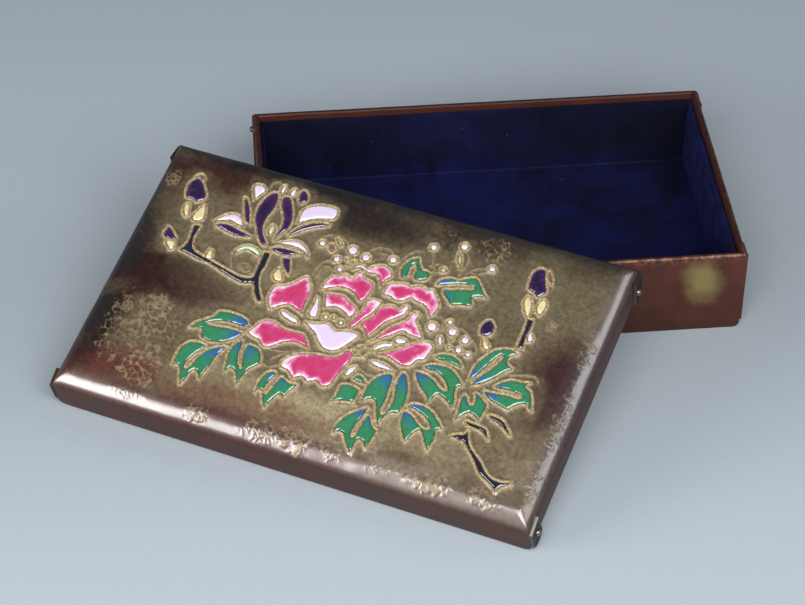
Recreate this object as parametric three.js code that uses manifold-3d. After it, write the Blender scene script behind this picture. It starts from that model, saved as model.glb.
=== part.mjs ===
// Cloisonne enamel box: an open tray lined with velvet, and its lid leaning on the tray's rim.
// Millimetres, +Z up. The origin is the middle of the tray's underside.
import * as THREE from 'three';
import * as BufferGeometryUtils from 'three/addons/utils/BufferGeometryUtils.js';
import Module from 'manifold-3d';

const wasm = await Module();
wasm.setup();

// Tray
const TRAY_LENGTH = 228;
const TRAY_WIDTH = 134;
const TRAY_HEIGHT = 45;
const TRAY_WALL = 2.8;
const TRAY_FLOOR = 2;
const TRAY_CORNER_RADIUS = 4.5;
const TRAY_FLAP_LENGTH = 12.5;
const TRAY_FLAP_THICKNESS = 1;
const TRAY_FLAP_MARGIN = 1.2;

// Velvet lining: five covered boards that stand loose inside the tray
const LINING_THICKNESS = 1.5;
const LINING_BELOW_RIM = 3;

// Lid
const LID_LENGTH = 238;
const LID_WIDTH = 142;
const LID_SIDE_HEIGHT = 15.5;
const LID_EDGE_RADIUS = 8;
const LID_WALL = 2.4;
const LID_TOP_THICKNESS = 2.2;
const LID_CORNER_RADIUS = 4.5;
const LID_FLAP_LENGTH = 12;
const LID_FLAP_THICKNESS = 1.8;
const LID_FLAP_MARGIN = 1.5;

// How the lid lies: turned beside the tray, its back skirt on the tray's front and left rims
const LID_TURN = THREE.MathUtils.degToRad(-28.9);
const LID_PAST_CORNER = 62.3;
const CORNER_LEFT_OF_LID_MIDDLE = 44.9;

// Tacks
const TACK_HEAD_RADIUS = 1.5;
const TACK_HEAD_HEIGHT = 1.1;
const TACK_SHANK_RADIUS = 0.6;
const TACK_SHANK_LENGTH = 2.4;
const TACK_FROM_CORNER = 6;
const TACK_BELOW_RIM = 5.5;
const TACK_ABOVE_BOTTOM = 13;
const TACK_ON_LID_SKIRT = 8.5;
const TACK_SIDES = 8;

// Relief on the lid: raised gold rims round sunk cells that hold the enamel
const RIM_WIDTH = 1.8;
const RIM_HEIGHT = 0.8;
const CELL_DEPTH = 1.4;
const ENAMEL_BELOW_RIM = 0.6;
const LEAF_RIB_WIDTH = 2;

// Clearance between pieces that touch
const GAP = 0.3;
const EMBED = 0.6;
const ROUND_STEPS = 4;
const PETAL_STEPS = 5;
const FRILL_STEPS = 6;
const SLIP_STEPS = 3;

// The ornament is laid out on a grid over the lid, counted from the middle of its front edge
const GRID_COLUMNS = 240;
const GRID_ROWS = 142;
const GRID_X = LID_LENGTH / GRID_COLUMNS;
const GRID_Y = LID_WIDTH / GRID_ROWS;
const ORNAMENT_TO_RIGHT = 0.9;
const ORNAMENT_TO_FRONT = 1.4;

const copper = { color: 0x5f3a26, roughness: 0.45, metalness: 0.6 };
const brassTack = { color: 0x4a3a2c, roughness: 0.4, metalness: 0.8 };
const velvet = { color: 0x131a4d, roughness: 0.95, metalness: 0 };
const gilt = { color: 0x6b5c3a, roughness: 0.5, metalness: 0.6 };
const ENAMEL_COLOURS = {
  pink: 0xd8487f,
  pale: 0xe6dcef,
  green: 0x2f8f5b,
  blue: 0x2c5fa0,
  purple: 0x3a1460,
  dark: 0x1c2138,
};

// Solids and meshes

function solidOf(geometry) {
  const bare = geometry.clone();
  bare.deleteAttribute('normal');
  bare.deleteAttribute('uv');
  const merged = BufferGeometryUtils.mergeVertices(bare, 1e-4);
  return new wasm.Manifold(new wasm.Mesh({
    numProp: 3,
    vertProperties: new Float32Array(merged.attributes.position.array),
    triVerts: new Uint32Array(merged.index.array),
  }));
}

function geometryOf(solid) {
  const mesh = solid.getMesh();
  const geometry = new THREE.BufferGeometry();
  geometry.setAttribute('position', new THREE.Float32BufferAttribute(mesh.vertProperties, 3));
  geometry.setIndex(new THREE.Uint32BufferAttribute(mesh.triVerts, 1));
  return geometry;
}

function piece(name, geometry, finish) {
  const mesh = new THREE.Mesh(geometry, new THREE.MeshStandardMaterial(finish));
  mesh.name = name;
  return mesh;
}

function boxSolid(low, high) {
  const size = high.map((value, axis) => value - low[axis]);
  const geometry = new THREE.BoxGeometry(...size);
  geometry.translate(...low.map((value, axis) => value + size[axis] / 2));
  return solidOf(geometry);
}

// An upright prism over an outline in X and Y
function prism(outline, bottom, top) {
  const shape = new THREE.Shape(outline.map(([x, y]) => new THREE.Vector2(x, y)));
  const geometry = new THREE.ExtrudeGeometry(shape, { depth: top - bottom, bevelEnabled: false });
  geometry.translate(0, 0, bottom);
  return geometry;
}

// A board with its two lower corners rounded, drawn in X and Z and standing from one Y to another
function roundedBoard(length, height, radius, front, back) {
  const half = length / 2;
  const shape = new THREE.Shape();
  shape.moveTo(half, radius);
  shape.lineTo(half, height);
  shape.lineTo(-half, height);
  shape.lineTo(-half, radius);
  shape.absarc(-half + radius, radius, radius, Math.PI, 1.5 * Math.PI);
  shape.absarc(half - radius, radius, radius, 1.5 * Math.PI, 2 * Math.PI);
  const geometry = new THREE.ExtrudeGeometry(shape, {
    depth: back - front,
    bevelEnabled: false,
    curveSegments: ROUND_STEPS,
  });
  geometry.rotateX(Math.PI / 2);
  geometry.translate(0, back, 0);
  return solidOf(geometry);
}

// A cushion: rectangular rings stacked up, each one inset from the last, with mitred corners
function stackedRings(length, width, rings) {
  const points = [];
  for (const [inset, height] of rings) {
    const x = length / 2 - inset;
    points.push(x, inset, height, x, width - inset, height);
    points.push(-x, width - inset, height, -x, inset, height);
  }
  const faces = [];
  for (let ring = 0; ring + 1 < rings.length; ring += 1) {
    for (let side = 0; side < 4; side += 1) {
      const here = ring * 4 + side;
      const next = ring * 4 + (side + 1) % 4;
      faces.push(here, next, next + 4, here, next + 4, here + 4);
    }
  }
  const last = (rings.length - 1) * 4;
  faces.push(0, 2, 1, 0, 3, 2);
  faces.push(last, last + 1, last + 2, last, last + 2, last + 3);
  const geometry = new THREE.BufferGeometry();
  geometry.setAttribute('position', new THREE.Float32BufferAttribute(points, 3));
  geometry.setIndex(faces);
  return solidOf(geometry);
}

function roundedRings(inset, bottom, springing, radius) {
  const rings = [[inset, bottom]];
  for (let step = 0; step <= ROUND_STEPS; step += 1) {
    const angle = (Math.PI / 2) * (step / ROUND_STEPS);
    rings.push([inset + radius * (1 - Math.cos(angle)), springing + radius * Math.sin(angle)]);
  }
  return rings;
}

// Tacks

function tackGeometry() {
  const profile = [
    [0, -TACK_SHANK_LENGTH],
    [TACK_SHANK_RADIUS, -TACK_SHANK_LENGTH],
    [TACK_SHANK_RADIUS, 0],
    [TACK_HEAD_RADIUS, 0],
    [TACK_HEAD_RADIUS * Math.SQRT1_2, TACK_HEAD_HEIGHT * Math.SQRT1_2],
    [0, TACK_HEAD_HEIGHT],
  ];
  const points = profile.map(([radius, height]) => new THREE.Vector2(radius, height));
  return geometryOf(solidOf(new THREE.LatheGeometry(points, TACK_SIDES)));
}

// Tacks lie along X, their heads towards the side that `way` gives
function placeTack(mesh, x, y, z, way) {
  mesh.rotation.z = -way * Math.PI / 2;
  mesh.position.set(x + way * GAP, y, z);
  return mesh;
}

function tackHole(x, y, z, way) {
  const radius = TACK_SHANK_RADIUS + GAP;
  const depth = TACK_SHANK_LENGTH + GAP;
  const hole = new THREE.CylinderGeometry(radius, radius, depth + EMBED, TACK_SIDES);
  hole.rotateZ(Math.PI / 2);
  hole.translate(x - way * (depth - EMBED) / 2, y, z);
  return solidOf(hole);
}

// Tray

const trayEnd = TRAY_LENGTH / 2 + TRAY_FLAP_THICKNESS;

function trayTackPlaces() {
  const places = [];
  for (const way of [-1, 1]) {
    for (const side of [-1, 1]) {
      for (const z of [TRAY_HEIGHT - TACK_BELOW_RIM, TACK_ABOVE_BOTTOM]) {
        places.push([way * trayEnd, side * (TRAY_WIDTH / 2 - TACK_FROM_CORNER), z, way]);
      }
    }
  }
  return places;
}

function trayShell() {
  const halfLength = TRAY_LENGTH / 2;
  const halfWidth = TRAY_WIDTH / 2;
  let shell = roundedBoard(TRAY_LENGTH, TRAY_HEIGHT, TRAY_CORNER_RADIUS, -halfWidth, halfWidth);
  for (const way of [-1, 1]) {
    for (const side of [-1, 1]) {
      const x = [way * (halfLength - EMBED), way * trayEnd].sort((p, q) => p - q);
      const y = [side * halfWidth, side * (halfWidth - TRAY_FLAP_LENGTH)].sort((p, q) => p - q);
      const low = TRAY_CORNER_RADIUS;
      shell = shell.add(boxSolid([x[0], y[0], low], [x[1], y[1], TRAY_HEIGHT - TRAY_FLAP_MARGIN]));
    }
  }
  const cavity = boxSolid(
    [-halfLength + TRAY_WALL, -halfWidth + TRAY_WALL, TRAY_FLOOR],
    [halfLength - TRAY_WALL, halfWidth - TRAY_WALL, TRAY_HEIGHT + EMBED],
  );
  const holes = trayTackPlaces().map((place) => tackHole(...place));
  const cuts = wasm.Manifold.union([cavity, ...holes]);
  return piece('tray_shell', geometryOf(shell.subtract(cuts)), copper);
}

function lining() {
  const length = TRAY_LENGTH - 2 * (TRAY_WALL + GAP);
  const width = TRAY_WIDTH - 2 * (TRAY_WALL + GAP);
  const floorTop = TRAY_FLOOR + GAP + LINING_THICKNESS;
  const wallHeight = TRAY_HEIGHT - LINING_BELOW_RIM - floorTop - GAP;
  const wallMiddle = floorTop + GAP + wallHeight / 2;
  const endWidth = width - 2 * (LINING_THICKNESS + GAP);
  const y = (width - LINING_THICKNESS) / 2;
  const x = (length - LINING_THICKNESS) / 2;
  const boards = [
    ['lining_floor', [length, width, LINING_THICKNESS], [0, 0, floorTop - LINING_THICKNESS / 2]],
    ['lining_front', [length, LINING_THICKNESS, wallHeight], [0, -y, wallMiddle]],
    ['lining_back', [length, LINING_THICKNESS, wallHeight], [0, y, wallMiddle]],
    ['lining_left', [LINING_THICKNESS, endWidth, wallHeight], [-x, 0, wallMiddle]],
    ['lining_right', [LINING_THICKNESS, endWidth, wallHeight], [x, 0, wallMiddle]],
  ];
  return boards.map(([name, size, centre]) => {
    const board = piece(name, new THREE.BoxGeometry(...size), velvet);
    board.position.set(...centre);
    return board;
  });
}

// Outlines of the enamel cells

function onLid([column, row]) {
  return [column * GRID_X + ORNAMENT_TO_RIGHT, row * GRID_Y - ORNAMENT_TO_FRONT];
}

// A point beside a bowed line: t runs from 0 at its foot to 1 at its tip, offset is to its left
function besideSpine(cell, t, offset) {
  const [x0, y0] = onLid(cell.from);
  const [x1, y1] = onLid(cell.to);
  const length = Math.hypot(x1 - x0, y1 - y0);
  const along = [(x1 - x0) / length, (y1 - y0) / length];
  const bow = (cell.bend ?? 0) * 4 * t * (1 - t);
  const slope = (cell.bend ?? 0) * 4 * (1 - 2 * t) / length;
  const run = Math.hypot(1, slope);
  const s = t * length - offset * slope / run;
  const side = bow + offset / run;
  return [x0 + along[0] * s - along[1] * side, y0 + along[1] * s + along[0] * side];
}

// A petal, bud or berry: widest at its belly, blunt or pointed at its ends, frilled on its left side
function petalOutline(cell) {
  const steps = cell.steps ?? (cell.frill ? FRILL_STEPS : PETAL_STEPS);
  const power = Math.log(0.5) / Math.log(cell.belly ?? 0.5);
  const frill = cell.frill ?? 0;
  const halfWidth = (t) => cell.width / 2 * Math.sin(Math.PI * t ** power) ** (cell.blunt ?? 0.8);
  const outline = [besideSpine(cell, 0, 0)];
  for (let step = 1; step < steps; step += 1) {
    outline.push(besideSpine(cell, step / steps, -halfWidth(step / steps)));
  }
  outline.push(besideSpine(cell, 1, 0));
  for (let step = steps - 1; step > 0; step -= 1) {
    const wave = frill * (step % 2 === 0 ? 1 : -1) / 2;
    outline.push(besideSpine(cell, step / steps, halfWidth(step / steps) + wave));
  }
  return outline;
}

// A leaf: two side lobes and a long middle point, split by a rib that starts at its foot.
// Each place is a share of the leaf's length and of its half width.
const LEAF_FOOT = [0.03, 0.3];
const LEAF_SHOULDER = [0.2, 0.8];
const LEAF_BELLY = [0.45, 1];
const LEAF_LOBE = [0.8, 0.86];
const LEAF_NOTCH = [0.7, 0.5];
const LEAF_WAIST = [0.86, 0.27];
const LEAF_RIB_END = 0.62;

function leafSide(cell, way, places) {
  return places.map(([t, share]) => besideSpine(cell, t, way * share * cell.width / 2));
}

function leafOutline(cell) {
  const edge = [LEAF_FOOT, LEAF_SHOULDER, LEAF_BELLY, LEAF_LOBE, LEAF_NOTCH, LEAF_WAIST];
  const rib = [[0, LEAF_RIB_WIDTH / cell.width], [LEAF_RIB_END, LEAF_RIB_WIDTH / cell.width]];
  return [
    ...leafSide(cell, -1, rib).reverse(),
    ...leafSide(cell, -1, edge),
    besideSpine(cell, 1, 0),
    ...leafSide(cell, 1, edge).reverse(),
    ...leafSide(cell, 1, rib),
  ];
}

function leafEnvelope(cell) {
  const edge = [LEAF_FOOT, LEAF_SHOULDER, LEAF_BELLY, LEAF_LOBE];
  return [
    ...leafSide(cell, -1, edge),
    besideSpine(cell, 1, 0),
    ...leafSide(cell, 1, edge).reverse(),
  ];
}

// Moves each side of an outline out by `grow`, with its sharp points cut short
function grown(outline, grow) {
  const count = outline.length;
  const sharpest = 0.35;
  return outline.map((point, index) => {
    const before = outline[(index + count - 1) % count];
    const after = outline[(index + 1) % count];
    const one = [point[1] - before[1], before[0] - point[0]];
    const two = [after[1] - point[1], point[0] - after[0]];
    const lengths = [Math.hypot(...one), Math.hypot(...two)];
    const normal = [0, 1].map((axis) => one[axis] / lengths[0] + two[axis] / lengths[1]);
    const half = Math.hypot(...normal) / 2;
    const reach = grow / (2 * half * Math.max(half, sharpest));
    return [point[0] + normal[0] * reach, point[1] + normal[1] * reach];
  });
}

// Ornament: peony, magnolia, buds, branches and leaves

const peonyPetals = [
  { from: [-30.5, 68], to: [-25.5, 90.5], width: 21, belly: 0.3, blunt: 0.5, frill: 1 },
  { from: [-16.5, 88.5], to: [6, 89.5], width: 10.5, bend: 4.5, blunt: 0.4, frill: 1.2 },
  { from: [-7, 100.5], to: [10, 96], width: 6.5, bend: 5.2, blunt: 0.7 },
  { from: [12, 96], to: [38.8, 92], width: 10.5, bend: 2, blunt: 0.4, frill: 1.2 },
  { from: [-14, 82], to: [2.7, 77.8], width: 7.2, bend: 2.5, blunt: 0.5 },
  { from: [4, 70.5], to: [9.5, 88], width: 6.2, belly: 0.7, blunt: 0.6 },
  { from: [11.5, 67.5], to: [24, 89], width: 8.6, bend: 2.2, belly: 0.6, blunt: 0.7 },
  { from: [16, 65.5], to: [34.5, 84.5], width: 10.5, belly: 0.7, blunt: 0.7 },
  { from: [21.5, 61], to: [45, 72.5], width: 10, bend: -1.5, belly: 0.62, blunt: 0.7 },
  { from: [-40.5, 54.5], to: [-10, 55.5], width: 11.5, bend: 1.2, belly: 0.38, blunt: 0.6 },
  { from: [11.5, 56.5], to: [-19, 43], width: 16.5, bend: 2.8, belly: 0.55, blunt: 0.5, frill: 1.4 },
];
const peonyHeart = { from: [-17.5, 67.2], to: [9.7, 69], width: 11.2, bend: -4.8, frill: 1.6 };

const magnoliaPurple = [
  { from: [-52, 99.5], to: [-58.5, 128.5], width: 7.5, bend: 5, belly: 0.62 },
  { from: [-49.5, 104], to: [-54, 127.8], width: 6.5, bend: -3.2, belly: 0.5 },
  { from: [-60.5, 101.8], to: [-79.5, 103], width: 4.6, bend: -0.3 },
];
const magnoliaPale = [
  { from: [-68, 121.5], to: [-69, 130.3], width: 6.5, belly: 0.75, blunt: 0.7, steps: 4 },
  { from: [-43, 116.5], to: [-26.5, 126.5], width: 9.5, bend: 2, belly: 0.55, blunt: 0.5 },
  { from: [-67, 105.5], to: [-81.5, 104.5], width: 4.4, bend: -3.8 },
  { from: [-47, 101.8], to: [-30.5, 101], width: 3.4, bend: 3 },
];
const buds = [
  { from: [-95.5, 111.5], to: [-99.5, 124.5], width: 9.5, blunt: 0.6 },
  { from: [79.8, 112], to: [77.5, 127], width: 8.5, belly: 0.55, blunt: 0.6 },
  { from: [64.5, 85.5], to: [64.5, 93.5], width: 5, steps: 4 },
];
const moonCell = { from: [-65, 91.3], to: [-51.8, 92.8], width: 3.6, bend: 3.4 };
const leaves = [
  { from: [-41, 54.5], to: [-68, 48.5], width: 16.5 },
  { from: [-52.5, 43], to: [-59, 18.5], width: 19.5 },
  { from: [-38.5, 49], to: [-34.3, 26], width: 15 },
  { from: [-17, 39], to: [-17, 18.5], width: 15.5 },
  { from: [34.5, 57.5], to: [37, 28], width: 17.5 },
  { from: [28.8, 33], to: [28, 10.5], width: 17.5 },
  { from: [41.5, 61.5], to: [65, 46], width: 17 },
  { from: [46, 41.5], to: [64, 24.5], width: 16.5 },
  { from: [67, 61.5], to: [81, 83], width: 14 },
  { from: [75, 60.5], to: [99.5, 58], width: 15 },
  { from: [69, 57.5], to: [75.5, 40], width: 12 },
  { from: [20, 101], to: [20.5, 116.5], width: 12 },
  { from: [32.5, 102.5], to: [58.5, 105.5], width: 15 },
];
const leafSlips = [
  { from: [11, 34.5], to: [22.3, 40], width: 8.5, blunt: 0.45, steps: 4 },
  { from: [46.5, 67.8], to: [60.5, 67], width: 4, bend: 2 },
];

// Branches are runs of tapering strokes that grow out of each other
const branches = {
  enamel_branch_left: [
    { from: [-91, 84.3], to: [-60, 78.8], width: 2.6, bend: -0.4, blunt: 0.4 },
    { from: [-64, 79.6], to: [-45, 82.5], width: 2.6, bend: -2, blunt: 0.4 },
    { from: [-49, 78], to: [-49.5, 97], width: 2.8, bend: -0.8, blunt: 0.4 },
    { from: [-49, 83], to: [-41.5, 70], width: 2.4, bend: -0.6, blunt: 0.4 },
    { from: [-86.5, 82.5], to: [-88.5, 100.5], width: 2.2, bend: 0.4, blunt: 0.4 },
  ],
  enamel_branch_right: [
    { from: [69.5, 33.2], to: [80, 31.5], width: 2.4, bend: 1.8, blunt: 0.4 },
    { from: [75, 36.5], to: [97.5, 14.5], width: 2.8, bend: -2, blunt: 0.4 },
    { from: [91, 19], to: [103.5, 18.8], width: 2.4, bend: -1.6, blunt: 0.4 },
  ],
  enamel_stem_right: [
    { from: [82.3, 84.5], to: [81.3, 100], width: 2.6, bend: 0.3, blunt: 0.4 },
  ],
};

// Small cells whose enamel lies flush with their rims: each one is a low boss on the lid
const slips = [
  { from: [-30.5, 68.7], to: [-19.5, 65], width: 3 },
  { from: [-17, 81.5], to: [-14.5, 69.8], width: 4, belly: 0.65 },
  { from: [18.3, 61.5], to: [32, 73], width: 4 },
  { from: [20, 56.5], to: [32.5, 55.5], width: 3 },
  { from: [11.5, 44.5], to: [15.3, 52.5], width: 2.6 },
  { from: [13, 55], to: [13, 63.5], width: 7, blunt: 0.5 },
  { from: [-15, 73], to: [3, 71.5], width: 4, blunt: 0.5 },
  { from: [-53, 103], to: [-52.5, 116], width: 5 },
  { from: [-65, 108], to: [-72.8, 122], width: 3 },
  { from: [-44.3, 107.5], to: [-27, 119.3], width: 3, bend: 1 },
  { from: [-48.7, 98.3], to: [-34, 100.2], width: 3.6, bend: -0.8 },
  { from: [-46.3, 126.8], to: [-47.5, 133], width: 4 },
  { from: [-41, 96], to: [-35.5, 88.5], width: 3.2 },
  { from: [-57.3, 128.5], to: [-56.5, 133], width: 2.2 },
  { from: [-52.3, 128.3], to: [-51, 132.8], width: 2.4 },
  { from: [-95.3, 102], to: [-98.8, 110.3], width: 3.6 },
  { from: [-91, 101], to: [-89.5, 112], width: 5.2 },
  { from: [-97.2, 89.3], to: [-101, 95], width: 4.6 },
  { from: [-98.2, 88.2], to: [-94.7, 83.7], width: 4 },
  { from: [-76, 84.2], to: [-76, 88.8], width: 2.8 },
  { from: [-38.5, 82.8], to: [-40.7, 89.8], width: 4 },
  { from: [79.3, 101], to: [76.3, 112], width: 4.2 },
  { from: [84, 103], to: [83.8, 112], width: 3.8 },
  { from: [66, 83.2], to: [68.2, 79.3], width: 3 },
  { from: [84, 88.5], to: [85, 94], width: 2.4 },
  { from: [15.5, 45.5], to: [22.5, 46.3], width: 2.6 },
  { from: [72.5, 41.3], to: [85.5, 36.5], width: 1.6, bend: 0.8 },
  { from: [81.5, 48], to: [93.5, 41], width: 1.6, bend: 1.6 },
];
const BERRY_SIZE = 3.6;
const berries = [
  [-26.6, 108.5], [-11.2, 109], [-3.8, 107.8], [9, 110.5], [-16.6, 102.8], [-13, 97.8],
  [47, 87.4], [40, 82.5], [50, 83], [57.2, 80.5], [46.2, 77], [56.2, 74.8], [61.2, 73.8],
  [24.6, 122.8], [38.2, 127.4], [55, 120],
].map(([x, y]) => ({
  from: [x - BERRY_SIZE / 2, y],
  to: [x + BERRY_SIZE / 2, y],
  width: BERRY_SIZE,
  blunt: 0.5,
  steps: 3,
}));
// Stalks between the berries, drawn as thin raised lines
const stalks = [
  { from: [30, 110], to: [24, 120], width: 1, bend: 2 },
  { from: [36, 110], to: [38, 125], width: 1, bend: -1 },
  { from: [43, 111], to: [53, 119.5], width: 1, bend: 2 },
  { from: [-4, 112.5], to: [7, 114], width: 1, bend: 1.5 },
  { from: [-27, 112.5], to: [-14, 111], width: 1, bend: 3 },
  { from: [-23, 91], to: [-17, 103], width: 1, bend: 2 },
  { from: [-60, 88], to: [-54, 83], width: 0.8, bend: 5 },
];

// Lid

const lidTop = LID_SIDE_HEIGHT + LID_EDGE_RADIUS;
const rimTop = lidTop + RIM_HEIGHT;
const lidEnd = LID_LENGTH / 2 + LID_FLAP_THICKNESS;

function inlaidCells() {
  const cells = [];
  const number = (list, stem, outlineOf, colour) => list.forEach((cell, index) => {
    cells.push({ name: `${stem}_${index + 1}`, colour, outlines: [outlineOf(cell)], cell });
  });
  number(peonyPetals, 'enamel_peony_petal', petalOutline, 'pink');
  number([peonyHeart], 'enamel_peony_heart', petalOutline, 'pale');
  number(magnoliaPurple, 'enamel_magnolia_purple', petalOutline, 'purple');
  number(magnoliaPale, 'enamel_magnolia_pale', petalOutline, 'pale');
  number(buds, 'enamel_bud', petalOutline, 'purple');
  number([moonCell], 'enamel_moon', petalOutline, 'green');
  number(leaves, 'enamel_leaf', leafOutline, 'green');
  number(leafSlips, 'enamel_leaf_slip', petalOutline, 'green');
  for (const [name, strokes] of Object.entries(branches)) {
    cells.push({ name, colour: 'dark', outlines: strokes.map(petalOutline) });
  }
  return cells;
}

function raisedOutlines(cells) {
  const outlines = cells.flatMap((entry) => (
    leaves.includes(entry.cell) ? [leafEnvelope(entry.cell)] : entry.outlines
  ));
  const plain = [...slips, ...stalks].map((slip) => ({ steps: SLIP_STEPS, ...slip }));
  return [...outlines, ...[...plain, ...berries].map(petalOutline)];
}

function lidTackPlaces() {
  const places = [];
  for (const way of [-1, 1]) {
    for (const y of [TACK_FROM_CORNER, LID_WIDTH - TACK_FROM_CORNER]) {
      places.push([way * lidEnd, y, TACK_ON_LID_SKIRT, way]);
    }
  }
  return places;
}

function lidShell(cells) {
  const board = roundedBoard(LID_LENGTH, lidTop + EMBED, LID_CORNER_RADIUS, -EMBED, LID_WIDTH + EMBED);
  const outerRings = roundedRings(0, 0, LID_SIDE_HEIGHT, LID_EDGE_RADIUS);
  const innerRadius = LID_EDGE_RADIUS - LID_WALL;
  const innerSide = lidTop - LID_TOP_THICKNESS - innerRadius;
  const innerRings = roundedRings(LID_WALL, -EMBED, innerSide, innerRadius);
  const outside = stackedRings(LID_LENGTH, LID_WIDTH, outerRings).intersect(board);
  const inside = stackedRings(LID_LENGTH, LID_WIDTH, innerRings);
  const flaps = [];
  for (const way of [-1, 1]) {
    for (const front of [0, LID_WIDTH - LID_FLAP_LENGTH]) {
      const x = [way * (LID_LENGTH / 2 - EMBED), way * lidEnd].sort((p, q) => p - q);
      const top = LID_SIDE_HEIGHT - LID_FLAP_MARGIN;
      flaps.push(boxSolid([x[0], front, LID_CORNER_RADIUS / 2], [x[1], front + LID_FLAP_LENGTH, top]));
    }
  }
  const rims = raisedOutlines(cells).map((outline) => (
    solidOf(prism(grown(outline, RIM_WIDTH), lidTop - EMBED, rimTop))
  ));
  const pockets = cells.flatMap(({ outlines }) => (
    outlines.map((outline) => solidOf(prism(outline, rimTop - CELL_DEPTH, rimTop + EMBED)))
  ));
  const holes = lidTackPlaces().map((place) => tackHole(...place));
  const body = wasm.Manifold.union([outside, ...flaps, ...rims]);
  const cuts = wasm.Manifold.union([inside, ...pockets, ...holes]);
  return piece('lid_shell', geometryOf(body.subtract(cuts)), gilt);
}

function enamel({ name, colour, outlines }) {
  const bottom = rimTop - CELL_DEPTH + GAP;
  const top = rimTop - ENAMEL_BELOW_RIM;
  const solids = outlines.map((outline) => solidOf(prism(grown(outline, -GAP), bottom, top)));
  const finish = { color: ENAMEL_COLOURS[colour], roughness: 0.1, metalness: 0 };
  return piece(name, geometryOf(wasm.Manifold.union(solids)), finish);
}

// The lid in its own frame: X to the right, Y from front to back, Z up from the skirt's lower edge
function lid() {
  const group = new THREE.Group();
  const cells = inlaidCells();
  group.add(lidShell(cells), ...cells.map(enamel));
  lidTackPlaces().forEach((place, index) => {
    group.add(placeTack(piece(`lid_tack_${index + 1}`, tackGeometry(), brassTack), ...place));
  });
  return group;
}

// The back skirt's inner edge stands just above the tray's rim, the front edge is on the ground
function leanLid(group) {
  const reach = LID_WIDTH - LID_WALL;
  const tilt = Math.asin((TRAY_HEIGHT + GAP) / reach);
  const along = new THREE.Vector2(Math.cos(LID_TURN), Math.sin(LID_TURN));
  const back = new THREE.Vector2(-Math.sin(LID_TURN), Math.cos(LID_TURN));
  const place = new THREE.Vector2(-trayEnd, -TRAY_WIDTH / 2)
    .addScaledVector(along, CORNER_LEFT_OF_LID_MIDDLE)
    .addScaledVector(back, LID_PAST_CORNER - reach * Math.cos(tilt));
  group.rotation.set(tilt, 0, LID_TURN, 'ZXY');
  group.position.set(place.x, place.y, 0);
  return group;
}

const box = new THREE.Group();
box.add(trayShell(), ...lining());
trayTackPlaces().forEach((place, index) => {
  box.add(placeTack(piece(`tray_tack_${index + 1}`, tackGeometry(), brassTack), ...place));
});
box.add(leanLid(lid()));

export default box;
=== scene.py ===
"""Looks of a cloisonne enamel box: a copper tray lined with velvet, its flower lid leaning on the rim.

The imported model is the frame. Lengths on the lid are millimetres in the lid's own frame: a runs to
the right from the middle, b from the front edge to the back, c up from the skirt's lower edge.
"""
import math

import bpy
import numpy as np
from mathutils import Matrix, Vector, noise
from mathutils.geometry import delaunay_2d_cdt


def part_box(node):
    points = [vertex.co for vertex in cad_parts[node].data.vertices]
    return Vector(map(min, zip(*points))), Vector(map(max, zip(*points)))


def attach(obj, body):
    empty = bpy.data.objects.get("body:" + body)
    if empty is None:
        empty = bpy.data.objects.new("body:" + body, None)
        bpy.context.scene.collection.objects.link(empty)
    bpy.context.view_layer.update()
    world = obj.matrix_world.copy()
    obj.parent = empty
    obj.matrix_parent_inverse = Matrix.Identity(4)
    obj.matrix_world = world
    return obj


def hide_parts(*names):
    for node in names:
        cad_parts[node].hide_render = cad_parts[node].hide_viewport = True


bl_info = {
    "name": "Enamel Box",
    "version": (1, 0, 0),
    "blender": (4, 5, 0),
    "location": "3D View > Sidebar > Enamel Box",
    "description": "Builds the looks of a cloisonne enamel box around its packed model",
    "category": "Object",
}

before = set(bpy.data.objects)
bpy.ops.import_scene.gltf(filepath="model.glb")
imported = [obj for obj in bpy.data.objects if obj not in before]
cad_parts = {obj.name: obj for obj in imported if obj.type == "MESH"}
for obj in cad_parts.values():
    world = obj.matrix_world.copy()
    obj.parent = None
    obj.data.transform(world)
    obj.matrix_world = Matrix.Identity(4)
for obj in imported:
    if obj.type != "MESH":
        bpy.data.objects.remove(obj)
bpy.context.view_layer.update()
MM = 0.001

# Tray, read from the frame
TRAY_LOW, TRAY_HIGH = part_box("tray_shell")
TRAY_HEIGHT = (TRAY_HIGH.z - TRAY_LOW.z) / MM
TRAY_WIDTH = (TRAY_HIGH.y - TRAY_LOW.y) / MM
TRAY_FLAP = 1.0
TRAY_LENGTH = (TRAY_HIGH.x - TRAY_LOW.x) / MM - 2 * TRAY_FLAP
TRAY_WALL = 2.8
TRAY_FLOOR = 2.0
TRAY_CORNER = 3.0
TRAY_FLAP_LENGTH = 12.5

# Lid, and how it leans: its back skirt on the tray's rim, its front edge on the ground
LID_LENGTH = 238.0
LID_WIDTH = 142.0
LID_SIDE = 15.5
LID_ROUND = 8.0
LID_WALL = 2.4
LID_SHEET = 2.2
LID_CORNER = 4.5
LID_FLAP_LENGTH = 10.5
LID_TAB = 1.3
LID_TURN = math.radians(-28.9)
LID_PAST_CORNER = 62.3
CORNER_FROM_MIDDLE = 44.9
CLEARANCE = 0.3
LID_REACH = LID_WIDTH - LID_WALL
LID_TILT = math.asin((TRAY_HEIGHT + CLEARANCE) / LID_REACH)
LID_TOP = LID_SIDE + LID_ROUND

# Camera of the photograph
LENS = 109.46
SENSOR = 36.0
CAMERA_AZIMUTH = math.radians(-5.14)
CAMERA_ELEVATION = math.radians(40.74)
CAMERA_DISTANCE = 1.2033
CAMERA_TARGET = Vector((-0.04702, -0.03482, 0.0))

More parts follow.
